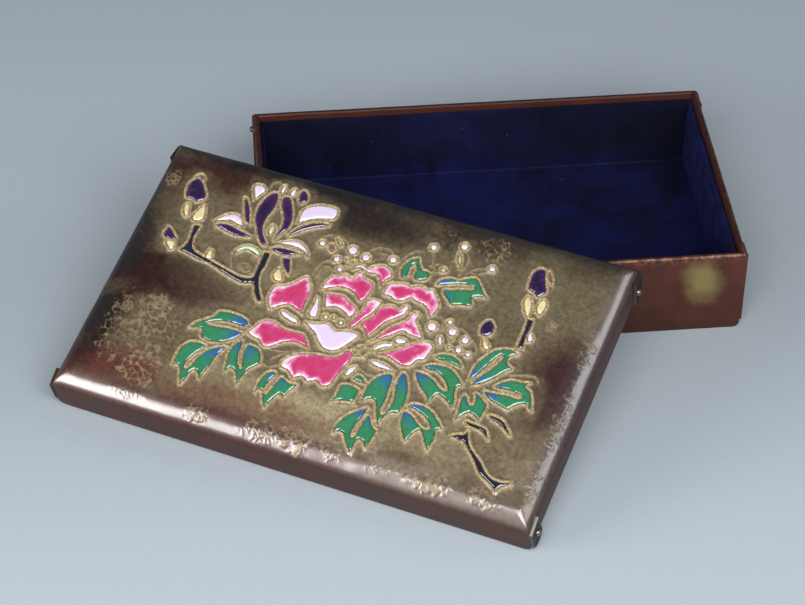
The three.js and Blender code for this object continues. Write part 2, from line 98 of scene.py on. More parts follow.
# Studio: the room's faint light, and each softbox's name, place, aim, size in metres and watts
STUDIO_SKY = (0.62, 0.68, 0.76, 1)
STUDIO_SKY_STRENGTH = 0.25
LAMP_COLOUR = (1.0, 0.99, 0.98)
SOFTBOXES = [
    ("softbox_left", (-1.34, -0.64, 0.34), (-0.05, -0.1, 0), (0.84, 0.66), 19),
    ("softbox_over", (0.0, -1.0, 0.88), (0, -0.2, 0), (1.4, 0.8), 26.5),
    ("softbox_right", (1.16, -0.34, 0.72), (0, 0, 0), (0.5, 0.36), 2.3),
]

# Where the ornament stands on the lid, to the right and to the back of its middle line
ORNAMENT_SHIFT = np.array((0.9, -1.4))

# How finely the relief is drawn
OUTLINE_STEP = 0.75
GRID_STEP = 1.9
CRINKLE_STEP = 0.48
CELL_RINGS = (-0.34, -0.06, 0.16, 0.5, 0.85, 1.3, 1.75, 2.1)
RINGS_FOR_WIDTH = 1.95
WIRE_RINGS = (0.0, 0.35, 0.75)
MERGE = 0.24
ENAMEL_RINGS = (0.22, 0.5, 0.9, 1.4)
ENAMEL_GRID = 1.15
ENAMEL_MERGE = 0.2

# Relief of the copper in millimetres, and the bend of the lid's shoulder: share of it, lean in degrees
CELL_SUNK = 1.35
RIM_CREST = 0.4
WIRE_HALF = 0.95
BLOSSOM_HALF = 0.55
KNOT_LINE_HALF = 0.85
HALO_REACH = 5.5
SHOULDER_KNOTS = (0, 0.4235, 0.7735, 1)
SHOULDER_LEANS = (90, 42, 34, 0)
LIP_ROUND = 0.7

# Enamel in millimetres: how far its edge and its flat bottom lie under the lid's top
ENAMEL_EDGE_SUNK = 0.12
ENAMEL_FOOT_SUNK = 0.55
ENAMEL_SHORE = 1.15

# Details of the sheet in metres
RIM_ROUND = 0.0007
RIM_DROP = 0.0006
TRAY_STRIPS = (44, 26, 9)
TRAY_FLAP_FOOT = 0.0045
TRAY_FLAP_BELOW_RIM = 0.0012
TRAY_FLAP_OUT = 0.0001
TRAY_FLAP_SHEET = 0.0018
TRAY_FLAP_ROUND = 0.0022
TRAY_FLAP_EDGE = 0.0003
BOARD_EDGE = 0.0006
BOARD_STRIP = 0.004
BOARD_WAVE = 0.00018
TACK_NECK = 0.0006
TACK_SHANK = 0.002
TAB_FOOT = 0.0012
TAB_OVERLAP = 0.0008
TAB_ROUND = 0.0042
TAB_EDGE = 0.0004
TAB_BORDER = 0.0005
TAB_SUNK = 0.0002

# Outlines of the enamel cells. A third value marks a sharp corner; the rest is a smooth curve.
PEONY = [
    [(-35.8, 68.5), (-38.3, 72), (-39, 75.5), (-38.3, 80), (-34.5, 81.8), (-31, 84), (-28.5, 87.3),
     (-25.8, 89.3), (-23.5, 87), (-21.5, 83), (-21.2, 78), (-21, 73), (-20.3, 70.3, 1), (-24, 72),
     (-27.5, 73), (-30.5, 72), (-33.5, 70)],
    [(-16.8, 85.5, 1), (-16.3, 90), (-14.5, 93.3), (-11.5, 94.5), (-9, 96.2), (-6.3, 95.3),
     (-4.6, 95.8), (-3.8, 98.5), (-2, 99.3), (0, 97), (4, 96), (5.8, 93.5), (5.5, 90), (4.3, 86.5),
     (2.5, 85.2), (0, 87.5), (-4, 89.3), (-9, 89.2), (-13, 87.5)],
    [(-7, 99.8, 1), (-5.8, 102.5), (-3, 103.5), (-0.5, 102), (2, 104.5), (6, 106), (9.5, 105),
     (11.8, 102.2), (10, 99.5), (9, 95.5, 1), (7.5, 98.5), (5, 100.8), (1.5, 100.5), (-1.5, 101),
     (-4.5, 101.8)],
    [(12.2, 91.8), (12, 95), (13.2, 98.5), (16.5, 99.2), (20, 100), (23, 99.3), (25.5, 100.8),
     (28.5, 101), (30.5, 99.8), (33, 101), (35, 98.8), (37.3, 96.5), (38.8, 93.5), (38.2, 89.5),
     (37.2, 87, 1), (35, 90), (32, 92.3), (28, 93), (24.5, 94), (22, 91.5), (18.5, 90.6), (15, 91.8)],
    [(-14, 84, 1), (-10, 84.6), (-5.5, 85), (-1.5, 83), (2.6, 80.8), (2.9, 78), (1.3, 75.2, 1),
     (-1.5, 77.3), (-5, 78.6), (-9, 78), (-11.3, 76.8, 1), (-12.5, 80)],
    [(6, 86, 1), (9, 87.6), (12.6, 87.3), (11.9, 83.5), (10.3, 80), (8, 76), (6, 72), (4.8, 70.8),
     (3.3, 71.5), (3.8, 74.5), (5.5, 78.5), (6.5, 82.5)],
    [(13.5, 68, 1), (11.5, 71.5), (8.8, 73), (9, 75.5), (12, 79), (12.8, 83), (15, 85.8),
     (18.5, 87.3), (21.5, 86), (23.3, 87.5), (24.5, 89.5), (26, 88.5), (25.3, 85), (22, 81.5),
     (18.5, 78), (16, 73)],
    [(14.8, 65.3, 1), (17.5, 68), (20, 72.5), (22.5, 76.5), (26, 79.8), (28.2, 82.5), (28.8, 86),
     (30.5, 87.5), (32.3, 86.5), (31.5, 83.5), (34, 80.5), (36.5, 77.5), (37.8, 75.2, 1), (35, 75.2),
     (31, 75.8), (28.5, 76.5), (26, 75), (22.5, 71.5), (18.5, 68.5)],
    [(21.8, 61.2, 1), (26, 63.5), (30.5, 67), (35, 71), (38.5, 73.5), (42, 74.3), (44.5, 72.5),
     (44, 69), (43, 65.5), (40, 64), (38.5, 61), (35, 59.3), (31, 60.5), (26.5, 61.8)],
    [(-40.2, 53.5), (-38.5, 56.5), (-36.8, 60), (-34, 62), (-30, 62), (-25.5, 60.3), (-20, 60),
     (-15.5, 60.3), (-13, 58), (-10, 54.5, 1), (-13.5, 55.3), (-18, 55.2), (-22.5, 53.5),
     (-25.5, 51), (-28.5, 48.8), (-31, 49), (-33.5, 51.3), (-37, 52)],
    [(8, 58.5), (5.5, 55), (2, 53), (-3, 52.5), (-8, 51.5), (-13, 49.8), (-16.5, 47.5), (-18.5, 44),
     (-18, 41.5), (-14.5, 40.8), (-12, 39), (-10.3, 37.8), (-8, 39.3), (-6, 39.6), (-3.5, 38),
     (-1.5, 39), (0.5, 40), (3.5, 38), (5.5, 38.2), (7.5, 40.5), (8.5, 45), (9.5, 50), (11, 54),
     (10.5, 58)],
]
PEONY_FEET = [
    (-20, 70), (-2, 78), (6, 90), (26, 78), (-5, 98), (4, 66), (12, 64), (14, 62), (16, 60),
    (-6, 58), (10, 62),
]
PEONY_HEART = [
    (-16.8, 66.5, 1), (-13.5, 67), (-10.5, 67.8), (-7.5, 69), (-4.5, 68.2), (-2, 66.7), (1, 67.3),
    (4, 68.4), (8, 68.4), (9.8, 67.5, 1), (8, 64.5), (5.5, 60.5), (3, 57.5), (-0.5, 56.2),
    (-4, 56.8), (-7.5, 59.5), (-10, 62.5), (-13.5, 64.5)]
MAGNOLIA_PURPLE = [
    [(-59.5, 128.3), (-57.8, 127), (-57, 123), (-56.9, 119), (-57.8, 115), (-58, 110), (-56.8, 106),
     (-54, 102.5), (-51.8, 99.8, 1), (-53.8, 99.6), (-57, 102.5), (-60, 107), (-62.8, 111.5),
     (-64, 116), (-64, 120.5), (-62.8, 124.5), (-61, 127.5)],
    [(-54.3, 127.6), (-52, 127.5), (-49.5, 124.5), (-47, 119.5), (-45.6, 115), (-46, 111),
     (-47.8, 107.5), (-49.3, 103.5, 1), (-49.5, 107), (-48.9, 111.5), (-49.7, 116), (-51.8, 119.5),
     (-54, 123), (-54.9, 126)],
    [(-79.8, 103, 1), (-77, 104.3), (-73, 104.6), (-69, 103.6), (-65, 102.8), (-60.5, 101.9, 1),
     (-63.5, 100.8), (-68, 100.3), (-72, 100.6), (-76.5, 101.9)],
]
MAGNOLIA_PALE = [
    [(-70.5, 129.5), (-68, 130.3), (-65.6, 129), (-64.9, 127.5), (-66.5, 124.8), (-67.8, 121.5, 1),
     (-69.3, 124.5), (-71, 128)],
    [(-42.3, 115.8, 1), (-42.9, 119), (-42.7, 123), (-40.5, 125.8), (-36, 128), (-31, 128.8),
     (-27.6, 128.4), (-26.4, 126), (-26.9, 123.3), (-30, 122), (-35, 120.5), (-38.7, 118.5)],
    [(-81.3, 104.6, 1), (-79.5, 107.3), (-76.5, 110), (-73, 111.1), (-70, 110.2), (-68, 107.7),
     (-66.8, 105.5, 1), (-70, 106.3), (-74, 107.3), (-78, 106)],
    [(-47.3, 102.2, 1), (-44, 104.2), (-40, 105.8), (-36.5, 105.8), (-33.3, 104), (-31, 101.5),
     (-30, 99.5, 1), (-33, 101.8), (-37, 103), (-42, 103)],
]
BUDS = [
    [(-99.5, 124.5), (-102, 121.5), (-102, 117.5), (-100.3, 113.3), (-97.5, 113), (-94.5, 112),
     (-92, 113.8), (-91.7, 116.5), (-94, 120), (-96.5, 123)],
    [(74.2, 124.5), (76, 126.8), (78.7, 126.5), (80, 123), (81.5, 119.5), (83, 115.8), (80.5, 112.3),
     (78, 114), (75, 115.2), (74, 118.5), (73.8, 121.5)],
    [(62.2, 92), (64.5, 93.8), (67, 91.5), (67.5, 88.5), (66, 86), (63, 85.8), (61.6, 88.5)],
]
MOON = [
    (-64.5, 90.8, 1), (-63.8, 94), (-61, 96.5), (-57.5, 97), (-54, 95.8), (-51.8, 93, 1), (-54, 93.3),
    (-58, 94.7), (-61.5, 94)]
LEAVES = [
    [(-67.2, 47.2, 1), (-66, 50), (-62.5, 53), (-59, 56, 1), (-57.8, 59.3, 1), (-53, 60.2), (-47, 60),
     (-43, 58.5), (-41.3, 56, 1), (-45, 55.6), (-50, 55.8), (-55, 54.9), (-60, 52.6), (-60.8, 51.3),
     (-57, 51.3), (-51, 52.2), (-46, 52.3), (-42.2, 51.8, 1), (-44.5, 48.5), (-49, 45), (-54, 43.6),
     (-58.5, 43.8), (-61, 45.3, 1), (-61.5, 48.2), (-64, 48.3)],
    [(-56, 40.6, 1), (-60, 41), (-64.5, 39.5), (-66.8, 35), (-67, 30), (-66.5, 26.8, 1),
     (-64.5, 27.6), (-62.5, 26), (-61, 22.5), (-59, 18.5, 1), (-57.8, 22), (-57.3, 25.5),
     (-55.3, 27.5), (-53.3, 26.3), (-51.8, 23.8, 1), (-50.8, 28), (-49.6, 33), (-48.8, 38),
     (-46.7, 43, 1), (-50.3, 41.5), (-54, 38.8), (-56.5, 34.5), (-57.8, 30), (-59.3, 26.8),
     (-61, 26.8), (-61.3, 30), (-59.5, 34.5), (-57.3, 38)],
    [(-41, 48.5, 1), (-43.5, 45), (-44, 40), (-43, 35.5), (-42, 30.5, 1), (-40.5, 33.7), (-38, 33),
     (-36.3, 31.5), (-33.6, 26.5, 1), (-33, 31), (-32, 35), (-30, 37.5), (-28.3, 39.5, 1), (-29, 43),
     (-31.5, 46), (-35, 47.3), (-37.4, 46.8), (-37.4, 43), (-36.3, 38.5), (-34.9, 35), (-36, 34.2),
     (-38, 36.8), (-39.7, 41), (-40, 45)],
    [(-19.5, 37.8, 1), (-22, 37), (-24, 33), (-24.3, 29), (-24, 25.5, 1), (-22.8, 27.8),
     (-20.8, 26.8), (-19.8, 24.5), (-18.5, 22), (-16.5, 19.5, 1), (-15.8, 22.5), (-14.3, 26),
     (-12.5, 28.5), (-10.3, 26.8, 1), (-9.5, 30), (-7, 35, 1), (-10, 34.4), (-13, 35.3),
     (-15.5, 36.2), (-16.5, 33), (-17.5, 29), (-18.5, 26), (-20.2, 26.3), (-20.8, 29.5), (-20, 33.5),
     (-18.7, 36.5)],
    [(32.8, 53.3, 1), (29.5, 52.8), (26, 49.5), (24.2, 45), (24, 40.5), (24.5, 36.5, 1), (27, 38.6),
     (30, 38.8), (31.8, 36), (33.8, 31.8), (35.9, 28, 1), (37, 31.5), (38.7, 34.8), (42.4, 36.2, 1),
     (43.4, 41), (42.8, 46), (41, 51), (38.5, 55), (36.6, 56, 1), (35.9, 52.5), (36.5, 48),
     (37.8, 43), (38, 38), (37.2, 34), (35.5, 32.8), (34.2, 34.8), (34.4, 39.5), (33.9, 45),
     (33.4, 50)],
    [(28.5, 34, 1), (25, 31.5), (21.5, 28), (19, 24), (18.3, 20.5), (18.5, 17.5, 1), (20.5, 19.3),
     (23, 18.8), (25, 16), (27.5, 13), (29.8, 11, 1), (29.8, 15), (30.5, 18.2), (33, 17.8),
     (35.5, 15, 1), (36, 19), (36.8, 24.5, 1), (34, 26), (31.5, 29.5), (30, 30.8, 1), (29.3, 27),
     (29, 22.5), (28.5, 18.5), (26.8, 18), (26, 21), (26.8, 25.5), (28, 30)],
    [(44.8, 61.8, 1), (48, 63.9), (53, 64.9), (58, 63.8), (62, 60.8), (64.8, 58.3, 1), (62.6, 56.8),
     (62.9, 53), (64.2, 49.5), (64.5, 46, 1), (61.5, 48.3), (58, 50.3), (55.3, 50.2), (53.4, 45.3, 1),
     (51.3, 48.3), (47.5, 51.3), (44, 55), (42, 58.5, 1), (46.5, 58.3), (51, 56.8), (55, 54),
     (58.3, 52.8), (59.6, 53.9), (57.5, 57), (54, 60), (50.5, 61.4), (47.5, 61.3)],
    [(45.8, 40.6, 1), (47, 42.3), (51.5, 42.8), (56.5, 41.5), (61, 38), (64.3, 34.8, 1),
     (61.8, 33.2), (62.8, 29.5), (62.2, 22.8, 1), (59.5, 26), (57, 29.8), (54.8, 31.3), (52.8, 28.5),
     (50.9, 23.7, 1), (48.3, 27.3), (45.8, 31.3), (45, 35), (45.5, 37.8), (49.5, 36.4), (53.3, 33.5),
     (57, 32), (59.2, 33), (57.8, 36), (54, 38.6), (49.8, 40.2)],
    [(66.6, 62, 1), (66.2, 66.5), (67.3, 71.5), (69.8, 76.5), (73.3, 80.5), (78, 82.3),
     (83.3, 81.3, 1), (80, 79.2), (79.2, 76.5), (80.5, 74.5), (83.3, 73.5, 1), (80.5, 71),
     (77, 66.5), (73, 62.5), (69.2, 59.8, 1), (69.3, 62.5), (72, 67), (74.8, 71.5), (76.8, 76),
     (77, 78.2), (75.6, 78.6), (73.3, 75), (71, 70), (69, 65.5)],
    [(79, 62.3, 1), (80.5, 64.5), (84.5, 67.3), (89, 68), (93.3, 68.8, 1), (91.8, 66.5), (95, 64.5),
     (96.8, 61), (98.8, 55.8, 1), (95.5, 58.3), (91.8, 56.8), (88.3, 53, 1), (84, 54.3), (79, 55.7),
     (75.2, 58.6, 1), (80, 59), (86, 59.7), (91.5, 59.7), (92.8, 61), (90, 62.3), (86, 62.6),
     (82, 62.2)],
    [(67.3, 54, 1), (67.2, 50), (68, 46), (68.2, 41, 1), (70.3, 44), (72.5, 46.3), (75, 46),
     (78.3, 44, 1), (78.8, 48), (79, 52.3, 1), (76.5, 54), (74, 55.7), (72, 56.3, 1), (73.3, 53.5),
     (73.4, 50.8), (71.8, 49.8), (70, 51.3), (68.8, 53.3)],
    [(16.3, 103, 1), (15, 106), (15.3, 110), (17.5, 113.5), (20.3, 115, 1), (21.5, 112.5),
     (24, 109.5), (26.8, 109.5), (28.8, 107.8, 1), (27.3, 105), (24, 103.6), (21.8, 105, 1),
     (21.8, 108), (20.8, 111), (19.3, 111.5), (18.2, 109), (18.5, 105), (18, 102.5, 1)],
    [(33.3, 104, 1), (34.5, 107), (38, 109.2), (42.5, 109.3), (46, 111.5), (49.5, 112.8),
     (52.5, 110.5), (56, 106.5), (58.5, 104.3, 1), (54.5, 104.2), (51.8, 102.5), (52.8, 98.5),
     (48.5, 97.5), (44, 96.3), (42, 98), (39, 100.5), (38, 102.5), (41, 103.5), (46, 105.3),
     (50.5, 106.3), (51, 108), (47, 108.5), (42, 107.3), (37.5, 105.5)],
]
LEAF_FEET = [
    (-41, 54.5), (-51, 44), (-38, 49), (-17, 39), (35, 57), (31, 35), (41, 61), (44, 41), (67, 59),
    (74, 60), (69, 57), (20, 100), (33, 102),
]
LEAF_SLIPS = [
    [(12.5, 41.3), (15.5, 42.2), (19, 41.9), (21.2, 41, 1), (21, 37.5), (20.8, 34.8, 1),
     (17.5, 34.3), (14, 33.5), (11.3, 31.8, 1), (12.2, 35), (12.3, 38.5)],
    [(47.3, 68.3, 1), (50, 70.3), (54, 71.2), (57.5, 70.2), (60, 68), (60.8, 66.6, 1), (57, 67.3),
     (53, 67.8), (50, 67.6)],
]
BRANCHES = {
    "enamel_branch_left": [
        (-91, 84.8, 1), (-89.3, 87), (-88.6, 91), (-89.2, 95), (-89.9, 99.5, 1), (-86.8, 100, 1),
        (-87.1, 96.5), (-87.2, 92.5), (-85.5, 88), (-83, 86), (-79, 84.8), (-72, 83.2), (-65, 81.5),
        (-58, 80), (-53, 80), (-50.5, 82), (-50.6, 88), (-51, 96, 1), (-48.2, 96, 1), (-47.8, 90),
        (-48, 84), (-46.5, 79), (-43.5, 74), (-41, 70.5, 1), (-43, 70.3), (-45.8, 73.5),
        (-48.8, 78.3), (-51.5, 77.6), (-55, 77), (-62, 78.6), (-70, 81.2), (-75, 82.4), (-80, 82.6),
        (-86, 84)],
    "enamel_branch_right": [
        (69.5, 33, 1), (72.5, 34.5), (74.8, 35.2), (75.8, 37.2, 1), (77, 34.5), (79, 31),
        (83, 27.5), (87, 24.5), (91, 20.5), (95, 18.5), (99, 18.3), (103.5, 19.3, 1), (101, 17),
        (99.5, 15.8), (98.3, 13.2, 1), (96.5, 15), (92, 17.5), (88, 20), (84, 24.5), (79.5, 28.8),
        (76, 32), (73, 32.3)],
    "enamel_stem_right": [
        (80.3, 100, 1), (82.8, 100, 1), (83.2, 95), (82.9, 90), (83.5, 84.5, 1), (81, 84.3, 1),
        (81, 90), (80.9, 95)],
}
SMALL_CELLS = {
    "pale": [
        [(-30.2, 68.2), (-28.5, 69), (-25, 67.8), (-21.5, 66.8), (-20.3, 65.2), (-22.5, 64.8),
         (-26, 65.6), (-29, 66.8)],
        [(-17.3, 80.8), (-16, 80.2), (-14.7, 77), (-13.5, 73.5), (-13.6, 70.8), (-15.5, 70.2),
         (-17.2, 71.5), (-17, 75), (-16.9, 78)],
        [(18.4, 61.5, 1), (19.8, 65), (22, 67.5), (25, 68.2), (27, 69.2), (26, 67), (23, 65.5),
         (20.5, 63.5)],
        [(26.5, 70.5), (27.5, 72), (29.5, 72.5), (31.8, 71.5), (30.5, 70), (28.5, 69.3)],
        [(20.3, 56.5), (22.5, 57.7), (26, 57.5), (30, 56.3), (32.3, 55.3), (29, 55.1), (24, 55.2)],
        [(11.7, 46, 1), (12, 49.5), (13.5, 51.5), (15.3, 52.2), (14.8, 49.5), (13.3, 47)],
        [(-57.3, 133.3), (-56, 133), (-55.9, 130.5), (-56.8, 129), (-57.9, 130.5)],
        [(-51.8, 132.8), (-50.6, 132.5), (-50.4, 130), (-51.8, 128.7), (-52.8, 130.5)],
        [(83.5, 93.3), (85, 92.8), (86.3, 90.5), (85, 88.8), (83.8, 90)],
        [(45, 78.9), (46.3, 78.7), (47.6, 75.8), (47, 74.5), (45.6, 76.3)],
    ],
    "purple": [
        [(-72.7, 121.5, 1), (-70.5, 119.5), (-67.8, 115.5), (-65.8, 111), (-64.5, 108, 1),
         (-66.8, 109.5), (-69, 113), (-71, 117)],
        [(-27.2, 119.3, 1), (-31, 119.2), (-36, 117.3), (-40, 114.2), (-42.6, 110.8),
         (-44, 107.3, 1), (-41.5, 109.6), (-38, 112.8), (-33.5, 115.7), (-30, 117.5)],
        [(-48.8, 99, 1), (-45.5, 100.2), (-41, 100.6), (-37, 100.4), (-33.8, 100, 1), (-38, 98.3),
         (-42, 97.5), (-46, 97.6)],
        [(-47.9, 132.5), (-46.2, 133.3), (-44, 131), (-43.6, 128.5), (-45.3, 126.5), (-46.8, 127.5),
         (-47.8, 130)],
        [(-41.3, 95.6, 1), (-38.2, 96), (-36.8, 93.5), (-35.6, 90.8), (-35, 88, 1), (-37.3, 90),
         (-39.8, 92.8)],
        [(-101.5, 95, 1), (-99, 93.5), (-96.5, 91.3), (-95, 89.6), (-97, 88.8), (-100, 89),
         (-101.8, 91)],
    ],
    "cream": [
        [(-98.3, 109.8), (-97, 109.3), (-95.8, 106), (-95.2, 103.2), (-96, 102.6), (-97.8, 104.5),
         (-99, 107.5)],
        [(-89.5, 111.5, 1), (-88, 108), (-87.3, 104.5), (-89, 102.3), (-91.5, 101.8),
         (-92.6, 103.5), (-92, 107), (-90.8, 110)],
        [(-98.3, 88, 1), (-95.5, 88.3), (-94, 86.5), (-94.3, 84), (-95.3, 83.3), (-97, 84.8),
         (-98.8, 86.5)],
        [(-76.8, 89), (-75.2, 88.8), (-74.3, 86.5), (-74.2, 84.5), (-76.8, 84.4), (-77.2, 86.5)],
        [(-40.7, 90, 1), (-38.8, 88), (-37, 85.3), (-37.3, 83.4), (-39.3, 83), (-41.2, 84.2),
         (-42, 86.5)],
        [(76, 111.5, 1), (78, 109.8), (79.5, 106.5), (80, 102), (78.8, 101.6), (76.8, 104.5),
         (75.3, 108)],
        [(84.3, 111.8), (85.7, 109.5), (85.5, 106), (84.5, 103.5, 1), (82.6, 105), (81.9, 108),
         (82.8, 111)],
        [(65, 83.3), (67.2, 82.5), (69, 80), (67.5, 79), (65.8, 80.5)],
    ],
    "dusky": [
        [(-101, 125), (-98.7, 127.2), (-96, 125), (-97, 124.2), (-99, 125.5)],
        [(80.8, 126.8, 1), (82.5, 124.8), (83.7, 122), (84, 120.8, 1), (82, 122.5), (81, 125)],
        [(-22.8, 109.5), (-21, 109.3), (-19.5, 106.2), (-22, 106.5)],
    ],
    "moss": [
        [(-53.8, 110.8), (-52.3, 110.8), (-51.6, 108.5), (-52.2, 106.3), (-53.6, 106),
         (-54.3, 108.3)],
        [(-21, 113.5), (-18.5, 112.5), (-17, 110), (-19, 110.8)],
        [(37, 124, 1), (39.2, 121), (40.8, 115.5, 1), (38, 119.5)],
    ],
    "green": [
        [(16, 46, 1), (18.2, 48.5), (21, 47), (23.3, 45.3, 1), (19.5, 45.4)],
    ],
    "dark": [
        [(72.5, 42, 1), (76, 41.6), (80, 41.3), (83, 40.5), (85.8, 36.3, 1), (82.5, 38.8),
         (79, 39.8), (75, 40.3)],
        [(81.8, 47.8, 1), (85, 48), (89, 46.8), (92.5, 43.5), (94.3, 41, 1), (91, 43.5),
         (87, 45.6), (84, 46.3)],
    ],
}
# Round cells: place and radius
BERRIES = [
    (-26.6, 108.8, 1.5), (-11.2, 109.5, 2.2), (-3.8, 107.8, 1.9), (9, 110.5, 1.7),
    (-16.6, 102.8, 1.6), (-13, 98, 1.4), (47, 87.4, 1.2), (40, 82.6, 2.2), (50, 83, 2.0),
    (57.2, 80.5, 1.8), (56.2, 74.8, 1.5), (61.2, 73.9, 1.2), (24.6, 122.8, 1.6), (38.2, 127.4, 1.8),
    (55, 120, 1.5),
]
DOTS = [
    (-9, 72.2, 1.3), (-5, 73, 0.9), (-1, 71.5, 1.3), (-11.5, 104.3, 0.7), (-8, 104, 0.7),
    (-9.8, 101.5, 0.6), (51.5, 75, 0.8), (51, 79.3, 0.7), (33.5, 112.5, 1.2),
]
# Raised lines with no enamel inside: arcs, stalks and empty petals
WIRES = [
    [(-65, 88), (-61, 81.5), (-55, 80.8), (-51, 85), (-52, 90), (-56, 92)],
    [(-58, 85.5), (-56, 82.8), (-53.5, 84.5), (-55, 87), (-57.5, 87.5)],
    [(-53.5, 102.5), (-56.3, 108), (-56.3, 113), (-55, 119), (-53, 122.5), (-50.5, 117), (-50, 109),
     (-52, 103.5), (-53.5, 102.5)],
    [(-63.5, 129), (-62.8, 133), (-60, 134.5), (-58.5, 131.5)],
    [(-27.5, 105.5), (-29.8, 109), (-27, 112.8), (-21, 115), (-15.5, 113), (-14, 110)],
    [(-24, 91), (-23.3, 96.5), (-20.5, 100.5), (-17, 100)],
    [(-21.5, 91), (-21.5, 95), (-19, 98), (-15.8, 96), (-16.5, 92.5)],
    [(-4, 111.5), (0, 114.8), (6, 115), (7.5, 112.5), (2, 112)],
    [(12.5, 105), (12.8, 112), (16.5, 117.5), (20, 119)],
    [(26.5, 112.5), (31, 115), (36, 113.5), (33, 110.5), (28, 110)],
    [(30.5, 110.5), (27.5, 115), (25.5, 120.5)],
    [(36.5, 111), (36, 118), (37.8, 124.8)],
    [(41.5, 111.5), (43, 120), (40.5, 125)],
    [(44, 112), (46, 116), (50, 118.5), (53, 119)],
    [(45, 115.5), (49.5, 115), (53.5, 118)],
    [(-24, 44), (-20, 47.5), (-12, 51.5)],
    [(-26.5, 48), (-18, 49.5), (-11, 53.2)],
    [(-29.5, 41), (-24, 39.5), (-20, 41.5)],
    [(10, 30.5), (18, 32), (27, 34.8)],
    [(16.5, 52), (21, 50), (25.5, 50.5)],
    [(97, 70), (94, 72.5), (88, 71.5), (83, 70)],
    [(42, 89), (44.5, 85.5), (43.5, 80), (40, 78.8)],
    [(43.5, 72.5), (45, 82), (48.5, 86), (54, 85.5), (59.5, 82), (64, 77.5), (63, 72.5)],
]
KNOT = (13.0, 59.5, 3.2, 3.6)
KNOT_LINES = [
    [(9.3, 58.3), (10.8, 62), (14, 63.8), (17, 62.3), (17.2, 59.3), (14.6, 56.8), (11.3, 56.3),
     (9.3, 58.3)],
    [(9.8, 61.8), (12.8, 59.6), (17, 57.2)],
    [(12, 55.8), (13.2, 60), (15.6, 64.6)],
]

# Embossed crinkle: a net of fine raised lines in patches. Middle, half sizes, mesh and strength
CRINKLE = [
    (-79, 20, 11, 12, 3.3, 1.0), (-84, 42, 12, 15, 3.5, 1.0), (-98, 36, 11, 18, 3.3, 0.7),
    (-87, 54, 6, 5, 3.4, 1.0), (-100, 52, 8, 6, 3.2, 0.5), (-111, 119, 4, 6, 3.0, 0.8),
    (-113, 98, 3, 12, 2.6, 0.4), (93, 98, 4, 4, 3.4, 0.7), (100, 92, 4, 5, 2.6, 0.4),
    (112, 90, 3, 11, 2.6, 0.7), (113, 50, 3, 24, 2.6, 0.6), (113, 19, 3, 10, 2.4, 0.7),
    (70, 7, 10, 5, 2.4, 1.0), (96, 8, 8, 5, 2.4, 0.9), (-13, 7, 9, 5, 2.4, 1.0),
    (5, 8, 9, 6, 2.4, 1.0), (22, 10, 8, 6, 2.4, 0.8), (-45, 6, 6, 4, 2.6, 1.0),
    (-80, 6, 8, 3, 2.4, 0.4), (14, 24, 5, 7, 2.8, 0.5), (56, 30, 8, 4, 2.6, 0.4),
    (54, 128, 9, 7, 2.8, 0.8), (29, 130, 5, 4, 2.6, 0.5), (45, 8, 9, 4, 2.4, 0.4),
    (-62, 12, 9, 4, 2.6, 0.3), (90, 30, 8, 4, 2.6, 0.3),
]
# Small embossed rings like blossoms, standing alone or in pairs: place and radius
BLOSSOMS = [
    (-47.5, 5.5, 2.0), (-42.8, 5.0, 1.9), (-86, 54, 3.0), (93, 98.5, 2.3), (-110, 119, 3.0),
    (-57, 83.5, 2.2), (-100, 47, 2.6),
]
CRINKLE_SEED = 11
CRINKLE_HEIGHT = 0.34

# The hex colours are what the eye sees in the bright studio. A surface's own colour is this share of it.
EXPOSED = 0.72


def linear(hex_colour):
    """The linear colour of an sRGB hex value such as #A0B0C0."""
    parts = [int(hex_colour[i:i + 2], 16) / 255 for i in (1, 3, 5)]
    return tuple(EXPOSED * (p / 12.92 if p <= 0.04045 else ((p + 0.055) / 1.055) ** 2.4) for p in parts)


def lid_matrix():
    """Places the lid's own frame in the row's frame, in millimetres."""
    along = Vector((math.cos(LID_TURN), math.sin(LID_TURN), 0))
    back = Vector((-math.sin(LID_TURN), math.cos(LID_TURN), 0))
    corner = Vector((-TRAY_LENGTH / 2 - TRAY_FLAP, -TRAY_WIDTH / 2, 0))
    place = corner + along * CORNER_FROM_MIDDLE + back * (LID_PAST_CORNER - LID_REACH * math.cos(LID_TILT))
    return Matrix.Translation(place) @ Matrix.Rotation(LID_TURN, 4, "Z") @ Matrix.Rotation(LID_TILT, 4, "X")


LID = lid_matrix()
LID_IN_METRES = LID.copy()
LID_IN_METRES.translation *= MM
LID_AXES = np.array(LID)[:3, :3]
LID_PLACE = np.array(LID)[:3, 3]


def from_lid(points):
    """Lid millimetres to metres in the row's frame."""
    return (np.asarray(points, float) @ LID_AXES.T + LID_PLACE) * MM


def curve_through(points, closed=True):
    """A smooth curve through points, broken where a point has a third value, cut into even steps."""
    places = np.array([p[:2] for p in points], float)
    count = len(places)
    sharp = [len(p) > 2 for p in points]
    out = []
    for i in range(count if closed else count - 1):
        j = (i + 1) % count
        before = places[i - 1] if (closed or i > 0) else 2 * places[i] - places[j]
        after = places[(j + 1) % count] if (closed or j < count - 1) else 2 * places[j] - places[i]
        before = 2 * places[i] - places[j] if sharp[i] else before
        after = 2 * places[j] - places[i] if sharp[j] else after
        steps = max(1, round(np.linalg.norm(places[j] - places[i]) / OUTLINE_STEP))
        for k in range(steps):
            t = k / steps
            out.append(0.5 * (2 * places[i] + (places[j] - before) * t
                              + (2 * before - 5 * places[i] + 4 * places[j] - after) * t ** 2
                              + (3 * places[i] - before - 3 * places[j] + after) * t ** 3))
    if not closed:
        out.append(places[-1])
    return np.array(out)


def round_outline(a, b, radius):
    count = max(10, round(2 * math.pi * radius / OUTLINE_STEP))
    turns = np.linspace(0, 2 * math.pi, count, endpoint=False)
    return np.stack([a + radius * np.cos(turns), b + radius * np.sin(turns)], 1)


